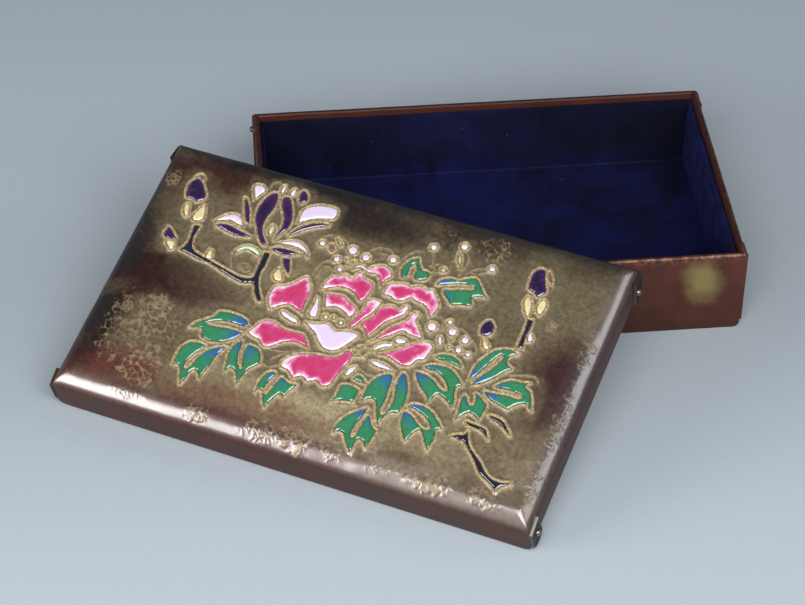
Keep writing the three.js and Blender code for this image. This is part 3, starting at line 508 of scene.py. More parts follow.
def anticlockwise(outline):
    x, y = outline[:, 0], outline[:, 1]
    area = np.sum(x * np.roll(y, -1) - y * np.roll(x, -1))
    return outline if area > 0 else outline[::-1]


def offset_ring(outline, distance):
    """Each point moved out by a distance along its normal."""
    side = np.roll(outline, -1, 0) - np.roll(outline, 1, 0)
    side /= np.maximum(np.linalg.norm(side, axis=1, keepdims=True), 1e-9)
    return outline + np.stack([side[:, 1], -side[:, 0]], 1) * distance


def distance_to_line(points, line, closed=True):
    """How far each point is from a line of short segments."""
    start = line if closed else line[:-1]
    end = np.roll(line, -1, 0) if closed else line[1:]
    best = np.full(len(points), 1e9)
    for low in range(0, len(points), 4000):
        p = points[low:low + 4000, None]
        run = end - start
        t = np.clip(((p - start) * run).sum(2) / np.maximum((run ** 2).sum(1), 1e-12), 0, 1)
        best[low:low + 4000] = np.linalg.norm(p - start - run * t[..., None], axis=2).min(1)
    return best


def inside_outline(points, outline):
    x, y = points[:, :1], points[:, 1:]
    x0, y0 = outline[:, 0], outline[:, 1]
    x1, y1 = np.roll(x0, -1), np.roll(y0, -1)
    crosses = (y0 > y) != (y1 > y)
    slope = np.where(y1 == y0, 1, y1 - y0)
    return (crosses & (x < (x1 - x0) * (y - y0) / slope + x0)).sum(1) % 2 == 1


def near(points, line, reach):
    """The numbers of the points inside a line's bounds, grown by a reach."""
    low, high = line.min(0) - reach, line.max(0) + reach
    return np.nonzero(((points > low) & (points < high)).all(1))[0]


def grid_between(low, high, step):
    """Points of an even grid between two corners."""
    across, upward = (np.arange(low[i], high[i], step) for i in (0, 1))
    return np.stack(np.meshgrid(across, upward), -1).reshape(-1, 2)


def noise_over(points, layer, scale):
    """Smooth noise over places on the lid. Each layer has a pattern of its own."""
    return np.array([noise.noise(Vector((p[0], p[1], layer)) * scale) for p in points])


def ridge(distance, half_width):
    """1 on a line, falling in a round back to 0 at half the ridge's width."""
    return np.clip(1 - (distance / half_width) ** 2, 0, 1)


def all_cells():
    """Every enamel cell: piece name, kind of enamel, outline, and the foot that its colours run from."""
    cells = []

    def put(name, kind, points, foot=None):
        outline = anticlockwise(curve_through(points)) + ORNAMENT_SHIFT
        foot = np.array(foot) + ORNAMENT_SHIFT if foot else None
        cells.append({"name": name, "kind": kind, "outline": outline, "foot": foot})

    for i, points in enumerate(PEONY):
        put(f"enamel_peony_petal_{i + 1}", "pink", points, PEONY_FEET[i])
    put("enamel_peony_heart_1", "pale", PEONY_HEART, (0, 70))
    for i, points in enumerate(MAGNOLIA_PURPLE):
        put(f"enamel_magnolia_purple_{i + 1}", "purple", points, (-52, 101))
    for i, points in enumerate(MAGNOLIA_PALE):
        put(f"enamel_magnolia_pale_{i + 1}", "pale", points, (-52, 103))
    for i, points in enumerate(BUDS):
        put(f"enamel_bud_{i + 1}", "purple", points)
    put("enamel_moon_1", "mint", MOON)
    for i, points in enumerate(LEAVES):
        put(f"enamel_leaf_{i + 1}", "green", points, LEAF_FEET[i])
    for i, points in enumerate(LEAF_SLIPS):
        put(f"enamel_leaf_slip_{i + 1}", "green", points)
    for name, points in BRANCHES.items():
        put(name, "dark", points)
    for kind, outlines in SMALL_CELLS.items():
        for points in outlines:
            put(None, kind, points)
    for kind, rounds in (("pale", BERRIES), ("moss", DOTS)):
        for a, b, radius in rounds:
            outline = round_outline(a, b, radius) + ORNAMENT_SHIFT
            cells.append({"name": None, "kind": kind, "outline": outline, "foot": None})
    return cells


def crinkle_nets():
    """Each patch of crinkle with the middles of its meshes."""
    rng = np.random.default_rng(CRINKLE_SEED)
    nets = []
    for a, b, half_a, half_b, mesh, strength in CRINKLE:
        count = max(6, round(4 * half_a * half_b * 2.1 / mesh ** 2))
        seeds = np.stack([rng.uniform(a - 1.3 * half_a, a + 1.3 * half_a, count),
                          rng.uniform(b - 1.3 * half_b, b + 1.3 * half_b, count)], 1)
        nets.append((np.array((a, b)), np.array((half_a, half_b)), seeds, strength))
    return nets


def blossom_lines():
    """Each small embossed ring, crinkled, with a ring inside the larger ones."""
    rng = np.random.default_rng(CRINKLE_SEED + 1)
    lines = []
    for a, b, radius in BLOSSOMS:
        for size in (radius, radius * 0.5) if radius > 1.9 else (radius,):
            turns = np.linspace(0, 2 * math.pi, max(10, round(10 * size)))
            petals = 0.16 * np.sin(turns * 5 + rng.uniform(0, 6))
            wave = size * (1 + petals + rng.normal(0, 0.06, len(turns)))
            lines.append(np.stack([a + wave * np.cos(turns), b + wave * np.sin(turns)], 1))
    return lines


class Relief:
    """The height of the copper over the lid's smooth skin, from the distance to cells and lines."""

    def __init__(self, sizes):
        self.height = sizes.rim_height / MM
        self.width = sizes.rim_width / MM
        self.cells = all_cells()
        self.wires = [curve_through(points, closed=False) + ORNAMENT_SHIFT for points in WIRES]
        self.knot = [curve_through(points, closed=False) + ORNAMENT_SHIFT for points in KNOT_LINES]
        self.blossoms = blossom_lines()
        self.nets = crinkle_nets()

    def cell_distance(self, points):
        """Distance to the nearest cell's edge, less than nothing inside it."""
        best = np.full(len(points), 99.0)
        for cell in self.cells:
            some = near(points, cell["outline"], 3.2)
            if not len(some):
                continue
            d = distance_to_line(points[some], cell["outline"])
            d[inside_outline(points[some], cell["outline"])] *= -1
            best[some] = np.where(np.abs(d) < np.abs(best[some]), d, best[some])
            best[some] = np.where(d < 0, d, best[some])
        return best

    def line_distance(self, points, lines, reach):
        best = np.full(len(points), 99.0)
        for line in lines:
            some = near(points, line, reach)
            if len(some):
                best[some] = np.minimum(best[some], distance_to_line(points[some], line, closed=False))
        return best

    def net_height(self, points):
        """Share of the crinkle's full height: ridges run midway between two meshes' middles."""
        share = np.zeros(len(points))
        bend = [noise.noise_vector(Vector((p[0], p[1], 4)) * 0.45)[:2] for p in points]
        bent = points + 0.9 * np.array(bend)
        for middle, half, seeds, strength in self.nets:
            far = np.linalg.norm((points - middle) / half, axis=1)
            some = np.nonzero(far < 1.25)[0]
            if not len(some):
                continue
            gaps = np.linalg.norm(bent[some, None] - seeds, axis=2)
            first, second = np.partition(gaps, 1, axis=1)[:, :2].T
            ragged = noise_over(points[some], 7, 0.3)
            fade = np.clip((1.15 - far[some] + 0.45 * ragged) / 0.35, 0, 1)
            crease = np.clip(1 - (second - first) / 0.75, 0, 1) * np.clip(1.0 + 1.3 * ragged, 0, 1)
            share[some] = np.maximum(share[some], crease * fade * strength)
        return share

    def at(self, points):
        """Height in millimetres, how golden it is, how near a cell it is, and the crinkle's share."""
        d = self.cell_distance(points)
        share = np.clip(d / self.width, 0, 1)
        inner = 1 - 0.4 * np.clip((RIM_CREST - share) / RIM_CREST, 0, 1) ** 2
        outer = ridge(np.clip(share - RIM_CREST, 0, 1), 1 - RIM_CREST) ** 0.85
        rim = self.height * np.where(share < RIM_CREST, inner, outer)
        rim = np.where(d > self.width, 0, rim)
        filed = noise_over(points, 2, 0.8)
        rim *= 1 + 0.28 * filed
        wire = self.line_distance(points, self.wires, 1.6)
        wire_rim = 0.55 * self.height * ridge(wire, WIRE_HALF)
        clear = np.clip((d - 1.5) / 1.5, 0, 1)
        ring = self.line_distance(points, self.blossoms, 1.2)
        net = np.maximum(self.net_height(points) * clear, 0.7 * ridge(ring, BLOSSOM_HALF) * clear)
        middle = np.array(KNOT[:2]) + ORNAMENT_SHIFT
        knot = np.hypot((points[:, 0] - middle[0]) / KNOT[2], (points[:, 1] - middle[1]) / KNOT[3])
        knot_rim = self.height * ridge(knot, 1) * (0.7 + 0.5 * filed)
        tie = self.line_distance(points, self.knot, 1.4)
        knot_rim = np.maximum(knot_rim, 1.35 * self.height * ridge(tie, KNOT_LINE_HALF) ** 0.7)
        height = np.maximum.reduce([rim, wire_rim, CRINKLE_HEIGHT * net, knot_rim])
        floor = 0.6 * self.height - CELL_SUNK * np.clip(-d / 0.3, 0, 1)
        height = np.where(d < 0, floor, height)
        gild = np.maximum(rim, np.maximum(wire_rim, knot_rim)) / self.height
        gild = np.where(d < 0, 1, gild)
        halo = np.exp(-np.clip(np.minimum(d, wire), 0, 99) / HALO_REACH)
        return height, np.clip(gild, 0, 1), halo, net


ARC = LID_ROUND * math.pi / 2
FLAT_A = LID_LENGTH / 2 - LID_ROUND + ARC
FLAT_B = LID_WIDTH - 2 * LID_ROUND + 2 * ARC


def shoulder():
    """The cushion's shoulder along its bend: inset, height and lean in radians, from side to top."""
    along = np.linspace(0, 1, 241)
    lean = np.radians(np.interp(along, SHOULDER_KNOTS, SHOULDER_LEANS))
    inset, height = (
        np.concatenate([[0], np.cumsum((run[1:] + run[:-1]) / 2)]) for run in (np.cos(lean), np.sin(lean)))
    return along * ARC, inset / inset[-1] * LID_ROUND, height / height[-1] * LID_ROUND, lean


BEND, BEND_INSET, BEND_HEIGHT, BEND_LEAN = shoulder()


def rolled(sheet):
    """A point on the flat sheet to its place on the lid's cushion, and the way its surface faces."""
    to_side = FLAT_A - np.abs(sheet[:, 0])
    to_front, to_back = sheet[:, 1], FLAT_B - sheet[:, 1]
    to_end = np.minimum(to_front, to_back)

    def inset(e):
        return np.where(e < ARC, np.interp(e, BEND, BEND_INSET), e - ARC + LID_ROUND)

    a = np.sign(sheet[:, 0]) * (LID_LENGTH / 2 - inset(to_side))
    b = np.where(to_front < to_back, inset(to_front), LID_WIDTH - inset(to_back))
    near_edge = np.minimum(np.minimum(to_side, to_end), ARC)
    c = LID_SIDE + np.interp(near_edge, BEND, BEND_HEIGHT)
    tip = np.interp(near_edge, BEND, BEND_LEAN)
    lean = np.sin(tip)
    sideways = to_side < to_end
    facing = np.stack([
        np.where(sideways, np.sign(sheet[:, 0]) * lean, 0),
        np.where(sideways, 0, np.where(to_front < to_back, -1, 1) * lean),
        np.cos(tip)], 1)
    return np.stack([a, b, c], 1), facing


def unrolled(plan):
    """A place on the lid seen from above to its place on the flat sheet."""
    def spread(inset):
        return np.where(inset < LID_ROUND, np.interp(inset, BEND_INSET, BEND), inset - LID_ROUND + ARC)

    a = np.sign(plan[:, 0]) * (FLAT_A - spread(LID_LENGTH / 2 - np.abs(plan[:, 0])))
    front = plan[:, 1] < LID_WIDTH / 2
    b = np.where(front, spread(plan[:, 1]), FLAT_B - spread(LID_WIDTH - plan[:, 1]))
    return np.stack([a, b], 1)


def clear_of_border(sheet, margin):
    """Whether each point of the flat sheet is inside its border by a margin."""
    return (np.abs(sheet[:, 0]) < FLAT_A - margin) & (sheet[:, 1] > margin) & (sheet[:, 1] < FLAT_B - margin)


def on_lid(points, margin):
    """Whether each point lies on the lid's plan, clear of its edge by a margin."""
    along = np.abs(points[:, 0]) < LID_LENGTH / 2 - margin
    across = np.abs(points[:, 1] - LID_WIDTH / 2) < LID_WIDTH / 2 - margin
    return along & across


def thinned(groups, gap):
    """Points of several groups, first come first kept, none closer than about a gap."""
    seen = set()
    kept = []
    for points in groups:
        keys = np.floor(points / gap).astype(int)
        for point, key in zip(points, map(tuple, keys)):
            if key not in seen:
                seen.add(key)
                kept.append(point)
    return np.array(kept)


def mesh_piece(name, points, faces):
    """A new object at the origin from points in metres."""
    mesh = bpy.data.meshes.new(name)
    mesh.from_pydata([tuple(p) for p in points], [], [tuple(f) for f in faces])
    mesh.validate()
    mesh.update()
    piece = bpy.data.objects.new(name, mesh)
    bpy.context.collection.objects.link(piece)
    mesh.shade_smooth()
    return piece


def give_attribute(piece, name, values):
    layer = piece.data.attributes.new(name, "FLOAT", "POINT")
    layer.data.foreach_set("value", np.asarray(values, np.float32))


def dress(piece, material, slot, *nodes):
    """Gives a finished piece its material and its body, and hides the nodes it stands for. The slot is not
    used.
    """
    piece.data.materials.clear()
    piece.data.materials.append(material)
    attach(piece, "root")
    if nodes:
        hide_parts(*nodes)
    return piece


def only(piece):
    """Selects one object and nothing else."""
    bpy.ops.object.select_all(action="DESELECT")
    piece.select_set(True)
    bpy.context.view_layer.objects.active = piece


def settle(piece):
    """Puts an object's place, turn and size into its mesh."""
    only(piece)
    bpy.ops.object.transform_apply(location=True, rotation=True, scale=True)


def block(name, middle, size):
    """A box at its place and size, from a primitive cube."""
    bpy.ops.object.select_all(action="DESELECT")
    bpy.ops.mesh.primitive_cube_add(size=1, location=middle)
    made = bpy.context.object
    made.name = name
    made.scale = size
    settle(made)
    return made


def smooth_by_angle(piece, degrees):
    only(piece)
    bpy.ops.object.shade_smooth_by_angle(angle=math.radians(degrees))


def cut_strips(piece, low, high, counts):
    """Cuts a piece into even strips along each axis, so that its sheet can wave."""
    only(piece)
    bpy.ops.object.mode_set(mode="EDIT")
    for axis, count in enumerate(counts):
        for i in range(1, count):
            place, normal = [0, 0, 0], [0, 0, 0]
            place[axis] = low[axis] + (high[axis] - low[axis]) * i / count
            normal[axis] = 1
            bpy.ops.mesh.select_all(action="SELECT")
            bpy.ops.mesh.bisect(plane_co=place, plane_no=normal)
    bpy.ops.object.mode_set(mode="OBJECT")


def rounded_off(piece, radius, segments, chosen, kind="FACE"):
    """Rounds the edges that a test chooses, or the edges of the faces that it chooses."""
    pick(piece, chosen, kind)
    bpy.ops.mesh.bevel(offset=radius, segments=segments, affect="EDGES")
    bpy.ops.object.mode_set(mode="OBJECT")


def pick(piece, chosen, kind="FACE"):
    """In edit mode, selects the faces or edges that a test on their middle and normal chooses."""
    bpy.ops.object.mode_set(mode="OBJECT")
    bpy.ops.object.mode_set(mode="EDIT")
    bpy.context.tool_settings.mesh_select_mode = (False, kind == "EDGE", kind == "FACE")
    bpy.ops.mesh.select_all(action="DESELECT")
    bpy.ops.object.mode_set(mode="OBJECT")
    mesh = piece.data
    if kind == "FACE":
        for face in mesh.polygons:
            face.select = chosen(face.center, face.normal)
    else:
        for edge in mesh.edges:
            ends = [mesh.vertices[v].co for v in edge.vertices]
            edge.select = chosen((ends[0] + ends[1]) / 2, (ends[1] - ends[0]).normalized())
    bpy.ops.object.mode_set(mode="EDIT")


# Materials


def node(tree, kind, inputs=(), output=0, **settings):
    """Adds a node, sets its options, fills or links its inputs, and gives back one output."""
    made = tree.nodes.new(f"ShaderNode{kind}")
    for key, value in settings.items():
        setattr(made, key, value)
    for key, value in inputs.items() if isinstance(inputs, dict) else enumerate(inputs):
        if isinstance(value, bpy.types.NodeSocket):
            tree.links.new(value, made.inputs[key])
        else:
            made.inputs[key].default_value = value
    return made.outputs[output] if len(made.outputs) else None


def new_material(name):
    """An empty material, its tree, and the places on the piece that its patterns follow."""
    material = bpy.data.materials.new(name)
    material.use_nodes = True
    tree = material.node_tree
    tree.nodes.clear()
    return material, tree, node(tree, "TexCoord", output="Object")


def finish_material(tree, inputs):
    node(tree, "OutputMaterial", (node(tree, "BsdfPrincipled", inputs),))


def colour4(hex_colour):
    return (*linear(hex_colour), 1.0)


def share_of(tree, *factors):
    """The product of shares. A tuple is a value with the range that it is drawn from and onto."""
    product = None
    for factor in factors:
        if isinstance(factor, tuple):
            factor = node(tree, "MapRange", factor)
        product = factor if product is None else node(tree, "Math", (product, factor), operation="MULTIPLY")
    return product


def coated(tree, tone, *coats):
    """Colours laid over a tone one after another, each by the product of its shares."""
    for colour, *factors in coats:
        over = colour4(colour) if isinstance(colour, str) else colour
        tone = node(tree, "Mix", {0: share_of(tree, *factors), 6: tone, 7: over}, 2, data_type="RGBA")
    return tone


def patch_mask(tree, place, wobble, centre, reach, soft=0.55):
    """1 inside a soft-edged oval patch of patina, 0 outside. Middle and half sizes in millimetres."""
    middle = (centre[0] * MM, centre[1] * MM, 0)
    scale = (1 / (reach[0] * MM), 1 / (reach[1] * MM), 0)
    moved = node(tree, "VectorMath", (place, middle), operation="SUBTRACT")
    sized = node(tree, "VectorMath", (moved, scale), operation="MULTIPLY")
    far = node(tree, "VectorMath", (sized,), "Value", operation="LENGTH")
    torn = node(tree, "Math", (far, wobble), operation="ADD")
    return node(tree, "MapRange", (torn, 1 + soft, 1 - soft, 0, 1), interpolation_type="SMOOTHSTEP")


# Patina on the lid, with one painted highlight: middle and half sizes in millimetres, colour, strength
LID_PATINA = [
    ((8, 24), (62, 10), "#B8AA86", 0.75),
    ((70, 22), (40, 10), "#84765F", 0.6),
    ((-32, 16), (54, 9), "#70503F", 0.8),
    # Painted highlight: a pale grey band along the front shoulder
    ((40, 9), (50, 5), "#A39382", 0.5),
    ((-100, 15), (24, 13), "#5C2E28", 0.9),
    ((-112, 38), (14, 26), "#160C0E", 0.95),
    ((-100, 68), (31, 15), "#280B0B", 0.95),
    ((-68, 67), (15, 8), "#46322A", 0.75),
    ((-117, 95), (9, 34), "#170F10", 0.95),
    ((-100, 105), (14, 17), "#58503C", 0.8),
    ((-88, 129), (30, 11), "#3A1613", 0.9),
    ((-104, 116), (8, 7), "#4A3428", 0.8),
    ((0, 145), (160, 13), "#0E0A0E", 0.95),
    ((-6, 127), (36, 12), "#1C1315", 0.9),
    ((66, 133), (52, 11), "#362C22", 0.9),
    ((80, 110), (30, 22), "#6A624A", 0.7),
    ((-113, 84), (8, 24), "#241A1C", 0.85),
    ((8, 72), (50, 32), "#9A8A6C", 0.6),
    ((107, 71), (17, 21), "#3A1B1E", 0.95),
    ((119, 74), (6, 62), "#4A3C42", 0.85),
    ((-30, 3), (100, 7), "#4E231B", 0.9),
    ((98, 5), (30, 7), "#5A4338", 0.7),
]


def lid_copper(choice, shade=1.0):
    """Patinated copper under lacquer with worn gilding: golden where the relief is rubbed."""
    material, tree, where = new_material("patinated_gilt_copper" if shade == 1 else "painted_shade_copper_tab")
    place = node(tree, "Mapping", {
        "Vector": where, "Location": tuple(LID_PLACE * MM), "Rotation": (LID_TILT, 0, LID_TURN),
    }, vector_type="TEXTURE")
    clouds = node(tree, "TexNoise", {
        "Vector": place, "Scale": 38, "Detail": 6, "Roughness": 0.62, "Distortion": 0.6})
    # Grain of the filed gilding, drawn about 1 mm across, coarser than the real one so that it shows
    grain = node(tree, "TexNoise", {"Vector": place, "Scale": 950, "Detail": 3, "Roughness": 0.7})
    # Hammer marks and specks of patina, 2 to 3 mm across
    speck = node(tree, "TexNoise", {"Vector": place, "Scale": 420, "Detail": 5, "Roughness": 0.75})
    gild, halo, net, polish = (
        node(tree, "Attribute", output="Fac", attribute_name=name)
        for name in ("gild", "halo", "net", "polish"))
    wobble = share_of(tree, (clouds, 0.3, 0.7, -0.5, 0.5))
    patina = [
        (colour, patch_mask(tree, place, wobble, centre, reach), strength)
        for centre, reach, colour, strength in LID_PATINA]
    height = node(tree, "SeparateXYZ", (place,), "Z")
    # Painted shade: the skirt below the rounding is drawn in a darker red-brown
    side = coated(tree, colour4("#4C2A22"), ("#3E2823", (clouds, 0.4, 0.6)))
    tone = coated(
        tree, colour4("#786B52"), ("#62543F", (clouds, 0.35, 0.65)), *patina,
        (side, (height, (LID_SIDE + 4.5) * MM, (LID_SIDE + 1.5) * MM, 0.0, 0.85)),
        ("#82755D", halo, 0.5),
        ("#A08B6A", (net, 0.2, 0.75, 0.0, 0.7)),
        ("#83745A", (gild, 0.1, 0.4), 0.6),
        ((*choice.gold, 1), (gild, 0.3, 0.85), (grain, 0.4, 0.6, 0.15, 1.0)))
    uneven = share_of(tree, (speck, 0.35, 0.65, 0.66 * shade, 1.26 * shade))
    tone = node(tree, "VectorMath", {0: tone, "Scale": uneven}, operation="SCALE")
    hammered = node(tree, "Bump", {"Strength": 0.3, "Distance": 0.0003, "Height": speck})
    filed = node(tree, "Math", (gild, 0.8, 0.12), operation="MULTIPLY_ADD")
    grained = node(tree, "Bump", {
        "Strength": filed, "Distance": 0.0006, "Height": grain, "Normal": hammered})
    lacquer = node(tree, "Math", (polish, 0.95, 0.03), operation="MULTIPLY_ADD")
    finish_material(tree, {
        "Base Color": tone, "Metallic": 0.25, "Roughness": share_of(tree, (speck, 0.3, 0.7, 0.5, 0.65)),
        "Normal": grained, "Specular IOR Level": 0.2,
        "Coat Weight": lacquer, "Coat Roughness": 0.28, "Coat IOR": 2.1})
    return material


def tray_copper():
    """Brown patinated copper sheet: satin, redder where it is handled, darker low down."""
    material, tree, place = new_material("patinated_copper_sheet")
    depth, height = (node(tree, "SeparateXYZ", (place,), axis) for axis in "YZ")
    clouds = node(tree, "TexNoise", {
        "Vector": place, "Scale": 45, "Detail": 6, "Roughness": 0.6, "Distortion": 0.4})
    flecks = node(tree, "TexNoise", {"Vector": place, "Scale": 300, "Detail": 4, "Roughness": 0.7})
    worn = node(tree, "Attribute", output="Fac", attribute_name="worn")
    # The olive blotch on the front's right: the pattern is turned to lie on the upright side
    edge_on = node(tree, "Mapping", {"Vector": place, "Rotation": (-math.pi / 2, 0, 0)})
    wobble = share_of(tree, (clouds, 0.3, 0.7, -0.45, 0.45))
    blotch = patch_mask(tree, edge_on, wobble, (94.3, 29.3), (7.4, 9.8), 0.8)
    front = node(tree, "Math", (depth, 0.0), operation="LESS_THAN")
    tone = coated(
        tree, colour4("#6A382A"), ("#47271F", (clouds, 0.3, 0.7)),
        ("#42231C", (height, 0.0, 0.02, 0.6, 0.0)),
        ("#9A8C58", blotch, front, 0.85),
        ("#3A1C18", (height, (TRAY_HEIGHT - 0.9) * MM, (TRAY_HEIGHT - 0.5) * MM, 0.0, 0.9)),
        ("#9A6A52", (flecks, 0.46, 0.6), worn, 0.8))
    dents = node(tree, "Bump", {"Strength": 0.3, "Distance": 0.0003, "Height": flecks})
    finish_material(tree, {
        "Base Color": tone, "Metallic": 0.35, "Roughness": share_of(tree, (flecks, 0.3, 0.7, 0.36, 0.5)),
        "Normal": dents, "Specular IOR Level": 0.3, "Coat Weight": 0.15, "Coat Roughness": 0.3})
    return material


def tack_copper(name, dull, bright):
    """Dark copper tack heads, polished a little by touch."""
    material, tree, place = new_material(name)
    spots = node(tree, "TexNoise", {"Vector": place, "Scale": 900, "Detail": 3})
    tone = coated(tree, colour4(dull), (bright, spots))
    finish_material(tree, {"Base Color": tone, "Metallic": 0.85, "Roughness": 0.24})
    return material


def velvet_cloth(choice):
    """Short-pile navy velvet: it drinks the light; painted shade darkens its ends, and painted light
    brightens its floor and right end.
    """
    material, tree, place = new_material("navy_velvet")
    across, depth, height = (node(tree, "SeparateXYZ", (place,), axis) for axis in "XYZ")
    nap = node(tree, "TexNoise", {
        "Vector": place, "Scale": 30, "Detail": 5, "Roughness": 0.6, "Distortion": 0.8})
    # Pile drawn 0.5 mm across, coarser than the real one so that it shows
    pile = node(tree, "TexNoise", {"Vector": place, "Scale": 1800, "Detail": 2, "Roughness": 0.8})
    painted_sheen_streaks = node(tree, "TexNoise", {"Vector": place, "Scale": 110, "Detail": 3})
    lint = node(tree, "TexVoronoi", {"Vector": place, "Scale": 90}, "Distance")
    upright = node(tree, "VectorMath", (place, (1, 1, 0.12)), operation="MULTIPLY")
    drawn = node(tree, "TexNoise", {"Vector": upright, "Scale": 420, "Detail": 3})
    # Painted shade: the velvet is drawn darker towards its right end and towards its left
    lean = share_of(tree, (across, -0.02, 0.075, 1.0, 0.58), (across, -0.09, -0.03, 0.6, 1.0))
    # Painted light: the floor board is drawn lighter and bluer than the walls
    tone = coated(
        tree, (*choice.velvet, 1), ("#12153C", (nap, 0.35, 0.7)),
        ("#161D62", (height, 0.014, 0.005, 0.0, 0.6), (nap, 0.3, 0.65)))
    shade = share_of(tree, (pile, 0.3, 0.7, 0.6, 1.4), lean)
    tone = node(tree, "VectorMath", {0: tone, "Scale": shade}, operation="SCALE")
    # Painted sheen in streaks on the right end, the seam at the foot of the back, and specks of lint
    tone = coated(
        tree, tone, ("#1A2162", (across, 0.1085, 0.1094, 0.0, 0.6), (painted_sheen_streaks, 0.4, 0.66)),
        ("#30365E", (depth, 0.061, 0.062), (height, 0.0048, 0.0042), (nap, 0.3, 0.6, 0.1, 0.5)),
        ("#6A6E86", (lint, 0.03, 0.045, 0.3, 0.0)))
    fluff = share_of(tree, (drawn, 0.35, 0.7, 0.04, 0.6), lean)
    fur = node(tree, "Bump", {"Strength": 0.5, "Distance": 0.0004, "Height": pile})
    finish_material(tree, {
        "Base Color": tone, "Roughness": 0.9, "Specular IOR Level": 0.12, "Normal": fur,
        "Sheen Weight": fluff, "Sheen Roughness": 0.45, "Sheen Tint": colour4("#444A9C")})
    return material


# Enamels: colours at the edge and in the middle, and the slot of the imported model
ENAMELS = {
    "pink": ("#DC6C9C", "#C43C72", "pink_enamel"),
    "pale": ("#F4EAFA", "#E2CFEE", "pale_enamel"),
    "green": ("#2A7854", "#34825A", "green_enamel"),
    "purple": ("#3E1660", "#1A062E", "purple_enamel"),
    "cream": ("#EBDDB2", "#E3CC92", "pale_enamel"),
    "mint": ("#B7DDB0", "#CDEBC2", "mint_enamel"),
    "dark": ("#0C1024", "#141A34", "dark_enamel"),
    "dusky": ("#8C5C74", "#7A4A5A", "pink_enamel"),
    "moss": ("#B9C98F", "#CBD8A4", "mint_enamel"),
}


def enamel_glass(kind):
    """Vitreous enamel fired in its cell: opaque glass with a wet gloss and cloudy colour."""
    edge, middle, _ = ENAMELS[kind]
    material, tree, place = new_material(f"{kind}_enamel")
    depth, along = (
        node(tree, "Attribute", output="Fac", attribute_name=name) for name in ("depth", "along"))
    cloud = node(tree, "TexNoise", {"Vector": place, "Scale": 330, "Detail": 4, "Roughness": 0.65})
    drift = node(tree, "Math", (cloud, 0.5), operation="SUBTRACT")
    shaken = node(tree, "Math", (drift, 1.6, depth), operation="MULTIPLY_ADD")
    tone = coated(tree, colour4(edge), (middle, (shaken, 0.08, 0.5)))
    if kind == "pink":
        blot = node(tree, "TexNoise", {
            "Vector": place, "Scale": 210, "Detail": 5, "Roughness": 0.6, "Distortion": 0.5})
        patchy = node(tree, "Math", (blot, 0.5), operation="SUBTRACT")
        outward = node(tree, "Math", (patchy, 1.2, along), operation="MULTIPLY_ADD")
        outward = node(tree, "Math", (depth, -0.5, outward), operation="MULTIPLY_ADD")
        core = node(tree, "Math", (patchy, -3.4, depth), operation="MULTIPLY_ADD")
        tone = coated(
            tree, tone, ("#E88CB8", (outward, 0.36, 0.66)), ("#F5E3F0", (outward, 0.55, 0.84)),
            ("#BE2850", (core, 0.75, 1.35, 0.0, 0.65)))
    if kind == "green":
        foot = node(tree, "Math", (drift, 0.6, along), operation="MULTIPLY_ADD")
        tone = coated(
            tree, tone, ("#2A5CA6", (foot, 0.43, 0.17, 0.0, 0.95)), ("#176A44", (drift, -0.02, 0.1), 0.4))
    if kind == "purple":
        tone = coated(
            tree, tone, ("#5A1458", (along, 0.7, 1.0, 0.0, 0.6)), ("#5C2A82", (drift, 0.0, 0.14, 0.0, 0.4)))
    # Painted shade: the glass is drawn darker in a thin line along the cell's edge, under the rim
    painted_edge_shade = share_of(tree, (depth, 0.15, 0.04, 1.0, 0.45))
    tone = node(tree, "VectorMath", {0: tone, "Scale": painted_edge_shade}, operation="SCALE")
    ripple = node(tree, "TexNoise", {"Vector": place, "Scale": 260, "Detail": 2})
    wavy = node(tree, "Bump", {"Strength": 0.12, "Distance": 0.0005, "Height": ripple})
    finish_material(tree, {
        "Base Color": tone, "Roughness": 0.1, "IOR": 1.52, "Normal": wavy,
        "Coat Weight": 0.8, "Coat Roughness": 0.05, "Coat IOR": 1.7})
    return material


def studio_paper(choice):
    """Seamless background paper, matt."""
    material, tree, place = new_material("background_paper")
    tooth = node(tree, "TexNoise", {"Vector": place, "Scale": 700, "Detail": 2})
    # Painted shade: a band across the paper's middle is drawn darker
    depth = node(tree, "SeparateXYZ", (place,), "Y")
    falling = share_of(tree, (depth, -0.19, -0.05, 1.0, 0.87))
    rising = share_of(tree, (depth, 0.0, 0.15, 0.0, 0.13))
    painted_shade_band = node(tree, "Math", (falling, rising), operation="ADD")
    shade = share_of(tree, painted_shade_band, (tooth, 0.3, 0.7, 0.97, 1.03))
    light = node(tree, "VectorMath", {0: tuple(choice.paper), "Scale": shade}, operation="SCALE")
    finish_material(tree, {"Base Color": light, "Roughness": 0.8})
    return material


# Sizes and colours that a user would change


class EnamelBoxSizes(bpy.types.PropertyGroup):
    """Sizes of the relief and the sheet."""
    rim_height: bpy.props.FloatProperty(
        name="Rim height", description="Height of the gold rims over the lid", default=0.0008, unit="LENGTH")
    rim_width: bpy.props.FloatProperty(
        name="Rim width", description="Width of the gold rim round a cell", default=0.0017, unit="LENGTH")
    enamel_dome: bpy.props.FloatProperty(
        name="Enamel dome", description="How far the enamel swells over its edge", default=0.00074,
        unit="LENGTH")
    tack_radius: bpy.props.FloatProperty(
        name="Tack radius", description="Radius of a tack's head", default=0.0017, unit="LENGTH")
    tack_height: bpy.props.FloatProperty(
        name="Tack height", description="Height of a tack's head", default=0.0015, unit="LENGTH")
    sheet_wave: bpy.props.FloatProperty(
        name="Sheet wave", description="How uneven the hammered copper is", default=0.00016, unit="LENGTH")


def colour_choice(name, description, hex_colour):
    return bpy.props.FloatVectorProperty(
        name=name, description=description, default=linear(hex_colour), subtype="COLOR", min=0, max=1)


class EnamelBoxColours(bpy.types.PropertyGroup):
    """Main colours, as a user would change them."""
    gold: colour_choice("Gold", "Rubbed gilding on the rims", "#C6B082")
    velvet: colour_choice("Velvet", "Deep colour of the velvet", "#070821")
    paper: colour_choice("Paper", "Colour of the background paper", "#B5C0C9")


# Operators


